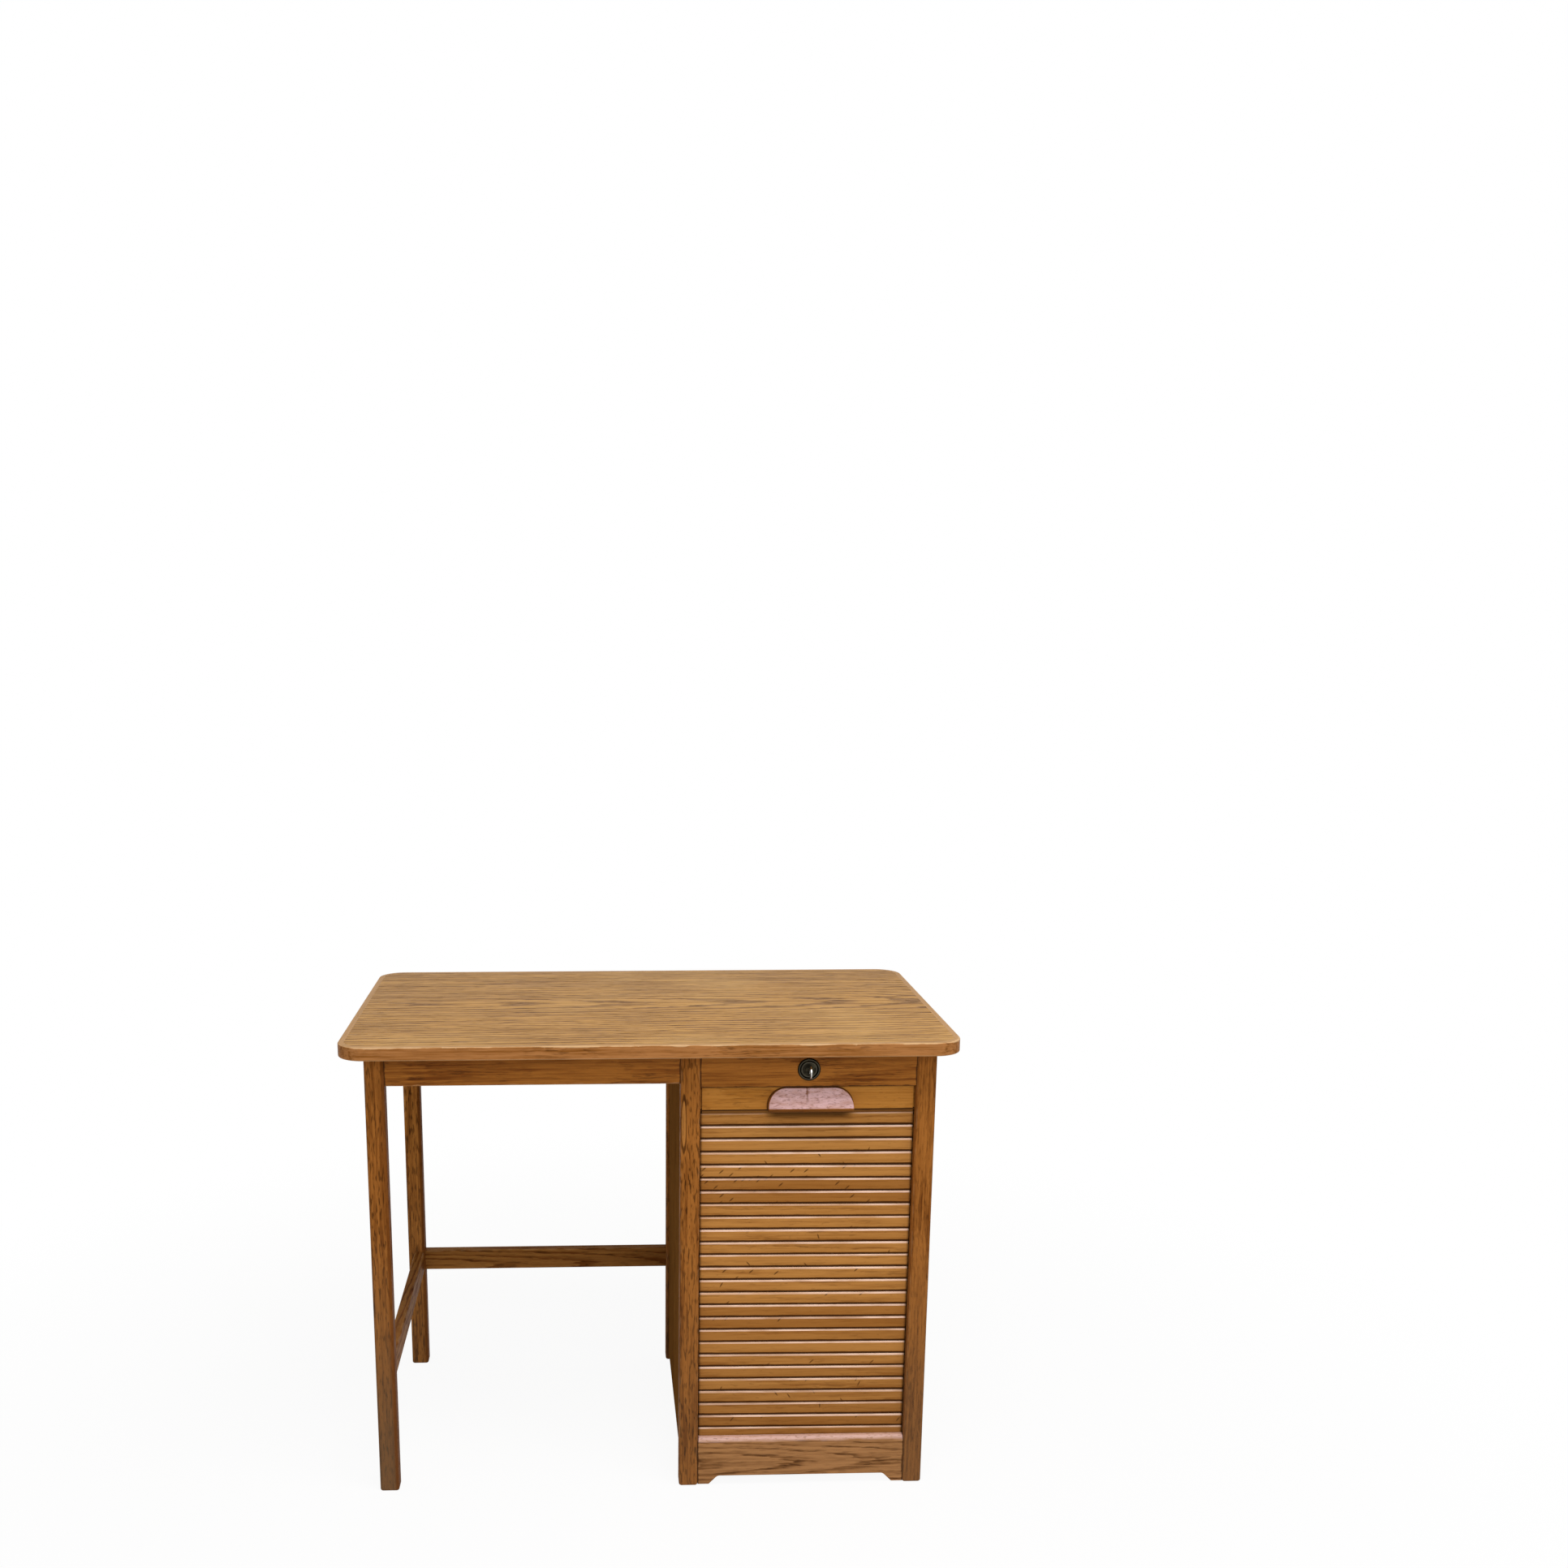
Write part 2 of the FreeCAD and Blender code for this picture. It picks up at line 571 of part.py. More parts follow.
def make_slats():
    """Curtain slats hung one below the other, the last ones already turning round the bend."""
    blank = body("slat_blank")
    half_y, half_z = "slat_thickness / 2", "(slat_pitch - slat_gap) / 2"
    y, z = (f"-{half_y}", half_y), (f"-{half_z}", half_z)
    block(blank, (("slat_left", "slat_right"), y, z))
    bevel_edges(blank, "slat_bevel", along("X", lambda box: near(box.YMin, y[0]),
                                           lambda box: near(box.ZMin, z[1])))
    round_edges(blank, "slat_bottom_round", along("X", lambda box: near(box.YMin, y[0]),
                                                  lambda box: near(box.ZMin, z[0])))
    tongues(blank, y, ("-tongue_height / 2", "tongue_height / 2"))
    doc.recompute()

    straight, radius = number("straight_run"), number("bend_radius")
    copies = []
    for index in range(int(number("slat_count"))):
        hung = (index + 0.5) * number("slat_pitch")
        turn = max(hung - straight, 0) / number("canvas_radius")
        y = number("bend_centre") - radius * math.cos(turn)
        z = number("lead_bottom") - min(hung, straight) - radius * math.sin(turn)
        slat = blank.Shape.copy()
        lean = FreeCAD.Rotation(FreeCAD.Vector(1, 0, 0), math.degrees(turn))
        slat.Placement = FreeCAD.Placement(FreeCAD.Vector(0, y, z), lean)
        copies.append(slat)
    curtain = doc.addObject("Part::Feature", "shutter_slats")
    curtain.Shape = Part.makeCompound(copies)
    keep("shutter_slats", curtain)


def make_canvas():
    """Cloth glued behind the slats: straight behind the front run, then round the bend."""
    canvas = keep("shutter_canvas", body("shutter_canvas"))
    x = ("slat_left + canvas_inset", "slat_right - canvas_inset")
    y = ("slat_back", "slat_back + canvas_thickness")
    block(canvas, (x, y, ("bend_height", "lead_bottom + canvas_lap")))
    section = polygon(canvas, "XY", rectangle(x, y), "bend_height")
    ends = [FreeCAD.Vector(number(end), number("bend_centre"), 0) for end in x]
    axle = section.addGeometry(Part.LineSegment(*ends), True)
    for corner, end in enumerate(x, 1):
        fix_point(section, axle, corner, (end, "bend_centre"))
    bend = canvas.newObject("PartDesign::Revolution", "Bend")
    bend.Profile = section
    bend.ReferenceAxis = (section, ["Axis0"])
    bind(bend, "Angle", "tail_angle")


def pull_screw_spots():
    reach = "pull_screw_spacing / 2"
    return [(f"pull_centre {sign} {reach}", "pull_screw_height") for sign in "-+"]


def make_pull():
    """Wedge-shaped pull with rounded upper corners and a finger hollow underneath."""
    pull = keep("shutter_pull", body("shutter_pull"))
    x = ("pull_centre - pull_width / 2", "pull_centre + pull_width / 2")
    nose = "lead_front - pull_reach"
    block(pull, (x, (nose, "lead_front"), ("pull_bottom", "pull_top")))
    round_edges(pull, "pull_corner_radius", along("Y", lambda box: near(box.ZMin, "pull_top")))
    clear_y, clear_z = f"{nose} - overrun", "pull_top + overrun"
    slope = [(nose, "pull_bottom + pull_nose"), ("lead_front - pull_top_thickness", "pull_top"),
             ("lead_front - pull_top_thickness", clear_z), (clear_y, clear_z),
             (clear_y, "pull_bottom + pull_nose")]
    cut_prism(pull, "YZ", slope, f"{x[0]} - overrun", f"{x[1]} + overrun")
    round_edges(pull, "pull_edge_radius", along("X", lambda box: near(box.YMin, nose)))
    hollow = ((f"{x[0]} + hollow_end_wall", f"{x[1]} - hollow_end_wall"),
              (f"{nose} + hollow_front_wall", "lead_front - hollow_back_wall"),
              ("pull_bottom - overrun", "pull_bottom + hollow_depth"))
    cut_block(pull, hollow)
    bores(pull, "XZ", pull_screw_spots(), "screw_radius + joint_clearance",
          f"{pull_screw_tip()} - joint_clearance", "lead_front")

    screws = keep("pull_screws", body("pull_screws"))
    head = "slat_back - screw_head_height"
    rods(screws, "XZ", pull_screw_spots(), "screw_radius", pull_screw_tip(), head)
    rods(screws, "XZ", pull_screw_spots(), "screw_head_radius", head, "slat_back")


def pull_screw_tip():
    return "lead_front - pull_screw_bite"


def keeper_screw_spots():
    middle = "keeper_left + keeper_width / 2"
    top, bottom = "lead_top - keeper_screw_edge", "lead_top - keeper_foot + keeper_screw_edge"
    return [(middle, height) for height in (top, bottom)]


def make_keeper():
    """Hook on the lead slat: a strip up behind the lock rail with a lip over the cam."""
    keeper = keep("keeper_plate", body("keeper_plate"))
    x = ("keeper_left", "keeper_left + keeper_width")
    lip = ("lip_bottom", "lip_bottom + keeper_thickness")
    block(keeper, (x, ("slat_back", "keeper_back"), ("lead_top - keeper_foot", lip[1])))
    block(keeper, (x, ("slat_back", "cam_back + keeper_clearance"), lip))
    bores(keeper, "XZ", keeper_screw_spots(), "screw_radius + joint_clearance", "slat_back", "keeper_back")

    screws = keep("keeper_screws", body("keeper_screws"))
    rods(screws, "XZ", keeper_screw_spots(), "screw_radius", "slat_back - screw_bite", "keeper_back")
    rods(screws, "XZ", keeper_screw_spots(), "screw_head_radius",
         "keeper_back", "keeper_back + screw_head_height")


def make_lock():
    axis = [("opening_centre", "lock_height")]
    rose = keep("lock_rose", body("lock_rose"))
    base_front, bore = "rail_front - rose_base", "case_radius + joint_clearance"
    rods(rose, "XZ", axis, "rose_radius", "rose_front", "rail_front")
    round_edges(rose, "rose_base / 2", lambda edge: near(edge.BoundBox.YMax, "rose_front"))
    bores(rose, "XZ", axis, "rose_radius - rose_ring_width", "rose_front", base_front)
    rods(rose, "XZ", axis, "case_radius + rose_ring_width", "rose_front", base_front)
    bores(rose, "XZ", axis, bore, "rose_front", "rail_front")

    case = keep("lock_case", body("lock_case"))
    rods(case, "XZ", axis, "case_radius", "rose_front", "case_back")
    bores(case, "XZ", axis, "plug_radius + turn_clearance", "rose_front", "case_back")

    nut = keep("lock_nut", body("lock_nut"))
    rods(nut, "XZ", axis, "nut_radius", "rail_back", "rail_back + nut_thickness")
    bores(nut, "XZ", axis, bore, "rail_back", "rail_back + nut_thickness")

    plug = keep("lock_plug", body("lock_plug"))
    rods(plug, "XZ", axis, "plug_radius", "plug_front", "cam_front")
    slot_x, slot_z = "key_thickness / 2 + turn_clearance", "blade_height / 2 + turn_clearance"
    slot = ((f"opening_centre - ({slot_x})", f"opening_centre + {slot_x}"),
            ("plug_front", "plug_front + blade_length + turn_clearance"),
            (f"lock_height - ({slot_z})", f"lock_height + {slot_z}"))
    cut_block(plug, slot)
    bores(plug, "XZ", axis, "screw_radius + joint_clearance",
          "cam_front - cam_screw_bite - joint_clearance", "cam_front")
    make_cam(axis)
    make_key()


def make_cam(axis):
    """Latch arm on the back of the plug, hanging down when unlocked."""
    cam = keep("lock_cam", body("lock_cam"))
    rods(cam, "XZ", axis, "cam_width / 2", "cam_front", "cam_back")
    arm = ("opening_centre - cam_width / 2", "opening_centre + cam_width / 2")
    block(cam, (arm, ("cam_front", "cam_back"), ("lock_height - cam_reach", "lock_height")))
    bores(cam, "XZ", axis, "screw_radius + joint_clearance", "cam_front", "cam_back")

    screw = keep("cam_screw", body("cam_screw"))
    rods(screw, "XZ", axis, "screw_radius", "cam_front - cam_screw_bite", "cam_back")
    rods(screw, "XZ", axis, "screw_head_radius", "cam_back", "cam_back + screw_head_height")


def make_key():
    """Flat key standing upright in the plug, its round bow in front of it."""
    key = keep("key", body("key"))
    x = ("opening_centre - key_thickness / 2", "opening_centre + key_thickness / 2")
    bow = [("plug_front - key_neck - bow_radius", "lock_height")]
    rods(key, "YZ", bow, "bow_radius", *x)
    bores(key, "YZ", bow, "bow_hole_radius", *x)
    shank = ("plug_front - key_neck - bow_radius + bow_hole_radius + key_thickness",
             "plug_front + blade_length")
    block(key, (x, shank, ("lock_height - blade_height / 2", "lock_height + blade_height / 2")))


def make_pedestal():
    """Posts, panels, linings and the two fixed front boards."""
    corners = {"left_front": ("pedestal_left", "front_face"), "right_front": ("opening_right", "front_face"),
               "left_back": ("pedestal_left", "back_inner"), "right_back": ("opening_right", "back_inner")}
    posts = {name: post(f"{name}_blank", x, y) for name, (x, y) in corners.items()}
    make_panels(posts)
    make_lock_rail(posts)
    make_kick_board(posts)
    track = make_track()
    make_linings(track)
    for side in ("left", "right"):
        name = f"{side}_front_post"
        keep(name, boolean("Cut", name, posts[f"{side}_front"], track))
        keep(f"{side}_back_post", posts[f"{side}_back"])
    return posts


def write_parts():
    """Refuse to write anything unless every object and every piece came out whole."""
    doc.recompute()
    failed = [item.Label for item in doc.Objects if {"Invalid", "Error"} & set(item.State)]
    for label, piece in nodes.items():
        shape = piece.Shape
        if shape.isNull() or not shape.isValid() or not shape.Solids:
            failed.append(label)
    if failed:
        raise RuntimeError("not sound: " + ", ".join(failed))
    os.makedirs("parts", exist_ok=True)
    for label, piece in nodes.items():
        piece.Shape.exportStep(f"parts/{label}.step")


fill_sheet()
make_top()
make_top_fixings()
make_leg_frame(make_pedestal())
make_inside()
make_lead_slat()
make_slats()
make_canvas()
make_pull()
make_keeper()
make_lock()
write_parts()
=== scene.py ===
import inspect
import math
import random
from dataclasses import asdict, dataclass, replace

import bmesh
import bpy
from bpy.props import FloatProperty, FloatVectorProperty, IntProperty, PointerProperty
from mathutils import Euler, Matrix, Vector


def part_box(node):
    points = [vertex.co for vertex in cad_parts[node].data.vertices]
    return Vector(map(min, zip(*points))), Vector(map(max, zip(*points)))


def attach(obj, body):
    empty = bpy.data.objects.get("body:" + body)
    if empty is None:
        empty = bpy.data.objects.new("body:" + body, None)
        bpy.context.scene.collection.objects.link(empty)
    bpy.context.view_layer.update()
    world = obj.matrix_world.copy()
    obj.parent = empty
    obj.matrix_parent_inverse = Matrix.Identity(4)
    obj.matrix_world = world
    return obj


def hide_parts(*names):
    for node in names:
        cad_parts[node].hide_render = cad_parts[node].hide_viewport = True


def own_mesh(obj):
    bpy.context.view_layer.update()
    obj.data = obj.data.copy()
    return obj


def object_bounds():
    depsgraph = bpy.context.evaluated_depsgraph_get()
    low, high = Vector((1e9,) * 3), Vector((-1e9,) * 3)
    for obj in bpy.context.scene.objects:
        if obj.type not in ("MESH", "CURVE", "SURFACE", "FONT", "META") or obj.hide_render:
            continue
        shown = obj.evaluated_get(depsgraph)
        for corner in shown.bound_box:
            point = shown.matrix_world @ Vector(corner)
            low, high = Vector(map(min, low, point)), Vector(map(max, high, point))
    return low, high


bl_info = {
    "name": "Tambour pedestal desk",
    "version": (1, 0, 0),
    "blender": (4, 5, 0),
    "location": "View3D > Sidebar > Desk",
    "description": "Oak, slatted curtain, pull, lock and key for the packed desk, with its studio stage",
    "category": "Object",
}

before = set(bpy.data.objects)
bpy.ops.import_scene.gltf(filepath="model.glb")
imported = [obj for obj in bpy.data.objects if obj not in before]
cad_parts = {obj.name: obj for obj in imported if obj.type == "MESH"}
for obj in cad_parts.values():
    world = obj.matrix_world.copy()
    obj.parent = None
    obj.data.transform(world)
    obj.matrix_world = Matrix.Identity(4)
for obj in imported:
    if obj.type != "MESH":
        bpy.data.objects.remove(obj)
CAD_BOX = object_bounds()

# How a board lies: turns in degrees that lay its own axes (along, across and into the grain) on the desk's
LYING = (0, 0, 0)
LENGTHWAYS = (90, 0, 0)
UPRIGHT = (90, 0, 90)
UPRIGHT_ASIDE = (0, 90, 0)
DEPTHWAYS = (90, 90, 0)
SMOOTH_ANGLE = math.radians(35)
# Points nearer than this lie on the same line
TOUCH = 1e-6


def colour(name, description, default):
    return FloatVectorProperty(name=name, description=description, default=default,
                               subtype="COLOR", size=3, min=0.0, max=1.0)


def late_wood(board, default):
    return colour(f"Light {board}", f"Late wood of the {board}", default)


def early_wood(board, default):
    return colour(f"Dark {board}", f"Early wood of the {board}", default)


def length(name, description, default):
    return FloatProperty(name=name, description=description, default=default,
                         subtype="DISTANCE", unit="LENGTH", min=0.0, precision=5)


def share(name, description, default):
    return FloatProperty(name=name, description=description, default=default,
                         subtype="FACTOR", min=0.0, max=1.0)


def angle(name, description, default):
    return FloatProperty(name=name, description=description, default=default, subtype="ANGLE")


def amount(name, description, default, subtype):
    return FloatProperty(name=name, description=description, default=default, subtype=subtype, min=0.0)


class DeskOakSettings(bpy.types.PropertyGroup):
    """Colours of the oak, of what time has left on it, and of the highlights, sheen and shade painted on it.
    """
    top_light: late_wood("worktop veneer", (0.48, 0.245, 0.047))
    top_dark: early_wood("worktop veneer", (0.19, 0.083, 0.012))
    # Painted reflection: lighter patches standing in for the sheen on the worktop veneer
    top_faded: colour("Top faded", "Bleached patches of the worktop veneer", (0.56, 0.335, 0.105))
    lead_light: late_wood("lead slat", (0.535, 0.225, 0.040))
    lead_dark: early_wood("lead slat", (0.36, 0.130, 0.014))
    edge_light: late_wood("solid edge of the top", (0.425, 0.183, 0.058))
    edge_dark: early_wood("solid edge of the top", (0.24, 0.085, 0.014))
    # Painted sheen: the solid edge's upper face made lighter, as the veneer looks under its glossier lacquer
    edge_top: colour("Top of solid edge", "Its upper face, stained with the veneer", (0.44, 0.262, 0.112))
    rail_light: late_wood("aprons and lock rail", (0.385, 0.140, 0.021))
    rail_dark: early_wood("aprons and lock rail", (0.17, 0.045, 0.004))
    leg_light: late_wood("legs and posts", (0.375, 0.139, 0.027))
    back_leg_light: late_wood("left back leg", (0.46, 0.182, 0.036))
    leg_dark: early_wood("legs and posts", (0.15, 0.045, 0.007))
    slat_light: late_wood("slats", (0.51, 0.233, 0.058))
    slat_dark: early_wood("slats", (0.29, 0.108, 0.020))
    kick_light: late_wood("kick board", (0.41, 0.20, 0.075))
    kick_dark: early_wood("kick board", (0.17, 0.070, 0.020))
    stretcher_light: late_wood("stretchers", (0.33, 0.145, 0.034))
    panel_light: late_wood("panels of the pedestal", (0.26, 0.115, 0.026))
    panel_dark: early_wood("panels of the pedestal", (0.13, 0.050, 0.010))
    inner_light: late_wood("unstained inside", (0.60, 0.43, 0.24))
    inner_dark: early_wood("unstained inside", (0.42, 0.27, 0.13))
    # Also the colour of painted shade and shadow on the slats and the lead slat
    pore: colour("Pores", "Stain held in the open pores", (0.045, 0.014, 0.003))
    # Wear and a painted highlight on the bevel along each slat's top
    slat_edge: colour("Slat edge", "Rubbed bevel along the top of each slat", (0.95, 0.66, 0.50))
    # Also the colour of the painted highlight along the lower arris of the top's solid edge
    worn: colour("Worn edge", "Bare wood where the lacquer has gone", (0.70, 0.46, 0.24))
    # Grey-brown that darkens legs and posts towards the floor
    grime: colour("Foot grime", "Grey dirt rubbed into the feet", (0.125, 0.080, 0.045))
    # Painted reflection: the pull's sloping face made pale as if it mirrored a bright sky
    bloom: colour("Bloom", "Pale bloom of the lacquer on the pull", (0.72, 0.465, 0.465))
    # Painted highlight: pale band along the kick board's rounded nose
    nose_bloom: colour("Nose bloom", "Pale dusty wear on the kick board's nose", (0.74, 0.49, 0.43))
    wear_width: length("Wear width", "How far wear reaches in from an edge", 0.0022)
    seam_width: length("Seam width", "How far dirt reaches in from a seam", 0.0026)
    # How far up the legs and posts the darkening reaches
    grime_height: length("Grime height", "How far dirt reaches up the feet", 0.55)


class DeskMetalSettings(bpy.types.PropertyGroup):
    """Colours of the metal parts and of the canvas."""
    bronze: colour("Bronze", "Dark coating of the lock", (0.018, 0.015, 0.010))
    bronze_rubbed: colour("Rubbed bronze", "Coating worn through", (0.060, 0.052, 0.032))
    # Wear and a painted highlight on the rose's raised rings
    bronze_bright: colour("Bright bronze", "Raised rings of the rose", (0.075, 0.066, 0.048))
    bronze_black: colour("Black bronze", "Groove and rim of the rose", (0.004, 0.003, 0.002))
    steel: colour("Steel", "Key, keeper and screws", (0.66, 0.65, 0.62))
    steel_dull: colour("Dull steel", "Tarnish on the steel", (0.30, 0.28, 0.25))
    canvas: colour("Canvas", "Yarn of the cloth behind the slats", (0.46, 0.40, 0.30))
    canvas_dark: colour("Canvas gaps", "Gaps between the yarns", (0.20, 0.16, 0.11))


class DeskShapeSettings(bpy.types.PropertyGroup):
    """Sizes of the pieces made here; shoulder gap, pull corner and curtain slip differ from the solids."""
    top_corner: length("Top corner", "Radius of the worktop's corners", 0.045)
    curtain_slip: angle("Curtain slip", "Tilt of the slats, which hang lower at the right", 0.007)
    slat_count: IntProperty(name="Slats", description="Slats in the curtain", default=28, min=1)
    slat_pitch: length("Slat pitch", "From one slat to the next", 0.0223)
    slat_gap: length("Slat gap", "Open line between two slats", 0.0008)
    slat_thickness: length("Slat thickness", "Front to back of a slat", 0.010)
    slat_recess: length("Slat recess", "Slat face behind the posts' faces", 0.015)
    slat_bevel: length("Slat bevel", "Bevel on a slat's upper edge", 0.003)
    slat_round: length("Slat round", "Rounding of a slat's lower edge", 0.0015)
    slat_end_round: length("Slat end round", "Rounding of a slat's front corners", 0.0008)
    shoulder_gap: length("Shoulder gap", "Between slat and post", 0.0015)
    tongue_thickness: length("Tongue thickness", "Front to back of a slat's tongue", 0.006)
    tongue_height: length("Tongue height", "Height of a slat's tongue", 0.010)
    bend_radius: length("Bend radius", "Groove's turn at the foot", 0.042)
    run_height: length("Run height", "Height of the groove's lower run", 0.030)
    canvas_thickness: length("Canvas thickness", "Cloth behind the slats", 0.001)
    weave_pitch: length("Weave pitch", "From one yarn of the canvas to the next but one", 0.0014)
    bead_height: length("Bead height", "Bead groove above the lead slat's lower edge", 0.0056)
    pull_corner: length("Pull corner", "Radius of the pull's upper corners", 0.030)
    pull_nose: length("Pull nose", "Height of the pull's front edge", 0.006)
    pull_top: length("Pull top", "Thickness left at the pull's upper edge", 0.0025)
    pull_round: length("Pull round", "Rounding of the pull's edges", 0.0012)
    hollow_depth: length("Finger hollow", "Depth of the hollow under the pull", 0.007)
    hollow_wall: length("Hollow wall", "Wall in front of and behind the hollow", 0.0045)
    hollow_end: length("Hollow end", "Wall at each end of the hollow", 0.016)
    bow_hole: length("Key hole", "Radius of the hole in the key's bow", 0.0035)
    blade_height: length("Key blade", "Height of the key's blade", 0.008)
    key_edge: length("Key edge", "Rounding of the key's edges", 0.0003)


class DeskStageSettings(bpy.types.PropertyGroup):
    """Camera, floor and lights."""
    photo_size: amount("Picture size", "Side of the picture in pixels", 1932, "PIXEL")
    focal: amount("Focal length", "In pixels of the picture", 1961.7, "PIXEL")
    centre_x: amount("Centre X", "Optical centre from the left, pixels", 801.2, "PIXEL")
    centre_y: amount("Centre Y", "Optical centre from the top, pixels", 1240.0, "PIXEL")
    pitch: angle("Pitch", "Camera's tilt below level", math.radians(12.687))
    yaw: angle("Yaw", "Camera's turn to the right", math.radians(2.029))
    camera_place: FloatVectorProperty(name="Camera", description="Camera's place", subtype="TRANSLATION",
                                      unit="LENGTH", size=3, default=(-0.0887, -2.73782, 1.39865))
    floor_span: length("Floor", "Side of the floor", 60.0)
    floor_glow: share("Floor glow", "Share of plain white in the floor that is seen near the desk", 0.93)
    shadow_reach: length("Shadow reach", "Where the floor has become plain white", 1.9)
    sky: amount("Sky", "Light that reaches the desk from all round", 0.42, "UNSIGNED")
    canopy: amount("Canopy", "Overhead softbox, watts", 46, "POWER")
    window: amount("Window", "Softbox in front, watts", 42, "POWER")
    tint: colour("Light tint", "Colour of the two softboxes", (1.0, 0.965, 0.955))


class Value:
    """What a node puts out. A sum with it adds the nodes that work it out."""

    def __init__(self, socket):
        self.socket = socket
        self.tree = socket.id_data

    def also(self, name):
        """Another output of the same node."""
        return Value(self.socket.node.outputs[name])

    def __add__(self, other):
        return reckon("ADD", self, other)

    def __sub__(self, other):
        return reckon("SUBTRACT", self, other)

    def __rsub__(self, other):
        return reckon("SUBTRACT", other, self)

    def __mul__(self, other):
        return reckon("MULTIPLY", self, other)

    def __truediv__(self, other):
        return reckon("DIVIDE", self, other)

    def __rtruediv__(self, other):
        return reckon("DIVIDE", other, self)

    def __abs__(self):
        return reckon("ABSOLUTE", self)


def add(tree, kind, values=None, output=0, **settings):
    """Add a node, set it up and join its inputs; returns one of its outputs."""
    node = tree.nodes.new(kind)
    for name, setting in settings.items():
        setattr(node, name, setting)
    for key, value in (values or {}).items():
        socket = node.inputs[key]
        if isinstance(value, Value):
            tree.links.new(value.socket, socket)
        else:
            socket.default_value = (*value[:3], 1.0) if socket.type == "RGBA" else value
    return Value(node.outputs[output]) if node.outputs else None


def is_vector(value):
    return value.socket.type == "VECTOR" if isinstance(value, Value) else isinstance(value, (tuple, Vector))


def reckon(operation, *values):
    """Math node for these values, or a vector math node where one of them is a vector."""
    tree = next(value.tree for value in values if isinstance(value, Value))
    kind = "ShaderNodeVectorMath" if any(map(is_vector, values)) else "ShaderNodeMath"
    output = "Value" if operation in ("LENGTH", "DOT_PRODUCT") else 0
    return add(tree, kind, dict(enumerate(values)), output, operation=operation)


def least(first, second):
    return reckon("MINIMUM", first, second)


def most(first, second):
    return reckon("MAXIMUM", first, second)


def split(vector):
    parts = add(vector.tree, "ShaderNodeSeparateXYZ", {0: vector})
    return [parts.also(axis) for axis in "XYZ"]


def join(x, y, z):
    return add(x.tree, "ShaderNodeCombineXYZ", {0: x, 1: y, 2: z})


def span(value, low, high, start=0.0, end=1.0):
    """Value's way from low to high as a smooth step from start to end."""
    values = {"Value": value, "From Min": low, "From Max": high, "To Min": start, "To Max": end}
    return add(value.tree, "ShaderNodeMapRange", values, interpolation_type="SMOOTHSTEP")


def fade(distance, begin, whole, strength=1.0):
    """Mask that begins at one distance and has its whole strength at another."""
    return span(distance, begin, whole, 0.0, strength)


def sway(value, reach):
    """A value from 0 to 1 as one from minus half to plus half the reach."""
    return (value - 0.5) * reach


def noise(place, stretch, detail=2.0):
    """Noise from 0 to 1 whose grains per metre along the three axes are the stretch."""
    return add(place.tree, "ShaderNodeTexNoise", {"Vector": place * stretch, "Scale": 1.0, "Detail": detail})


def mix(mask, first, second):
    """Colour that goes from the first to the second as the mask goes from 0 to 1."""
    return add(mask.tree, "ShaderNodeMix", {0: mask, 6: first, 7: second}, 2, data_type="RGBA")


SOCKET_KINDS = {"VALUE": "Float", "VECTOR": "Vector", "RGBA": "Color"}


def node_group(fill):
    """Turn a function into a shared node group, made when first used.

    Its arguments are the group's inputs, plain numbers unless marked; what it returns are the outputs.
    """
    label = fill.__name__.replace("_", " ").capitalize()
    inputs = {name: name.replace("_", " ").title() for name in inspect.signature(fill).parameters}

    def build():
        group = bpy.data.node_groups.new(label, "ShaderNodeTree")
        for name, title in inputs.items():
            kind = fill.__annotations__.get(name, "Float")
            group.interface.new_socket(title, in_out="INPUT", socket_type="NodeSocket" + kind)
        given = group.nodes.new("NodeGroupInput").outputs
        made = fill(*(Value(given[name]) for name in inputs.values()))
        for name, value in made.items():
            kind = SOCKET_KINDS[value.socket.type]
            group.interface.new_socket(name, in_out="OUTPUT", socket_type="NodeSocket" + kind)
        add(group, "NodeGroupOutput", made)
        return group

    def put(place, **values):
        """The group placed in the tree that the place comes from; returns its outputs by name."""
        group = bpy.data.node_groups.get(label) or build()
        values = {inputs[name]: value for name, value in {"place": place, **values}.items()}
        put_in = add(place.tree, "ShaderNodeGroup", values, node_tree=group)
        return {socket.name: Value(socket) for socket in put_in.socket.node.outputs}

    return put


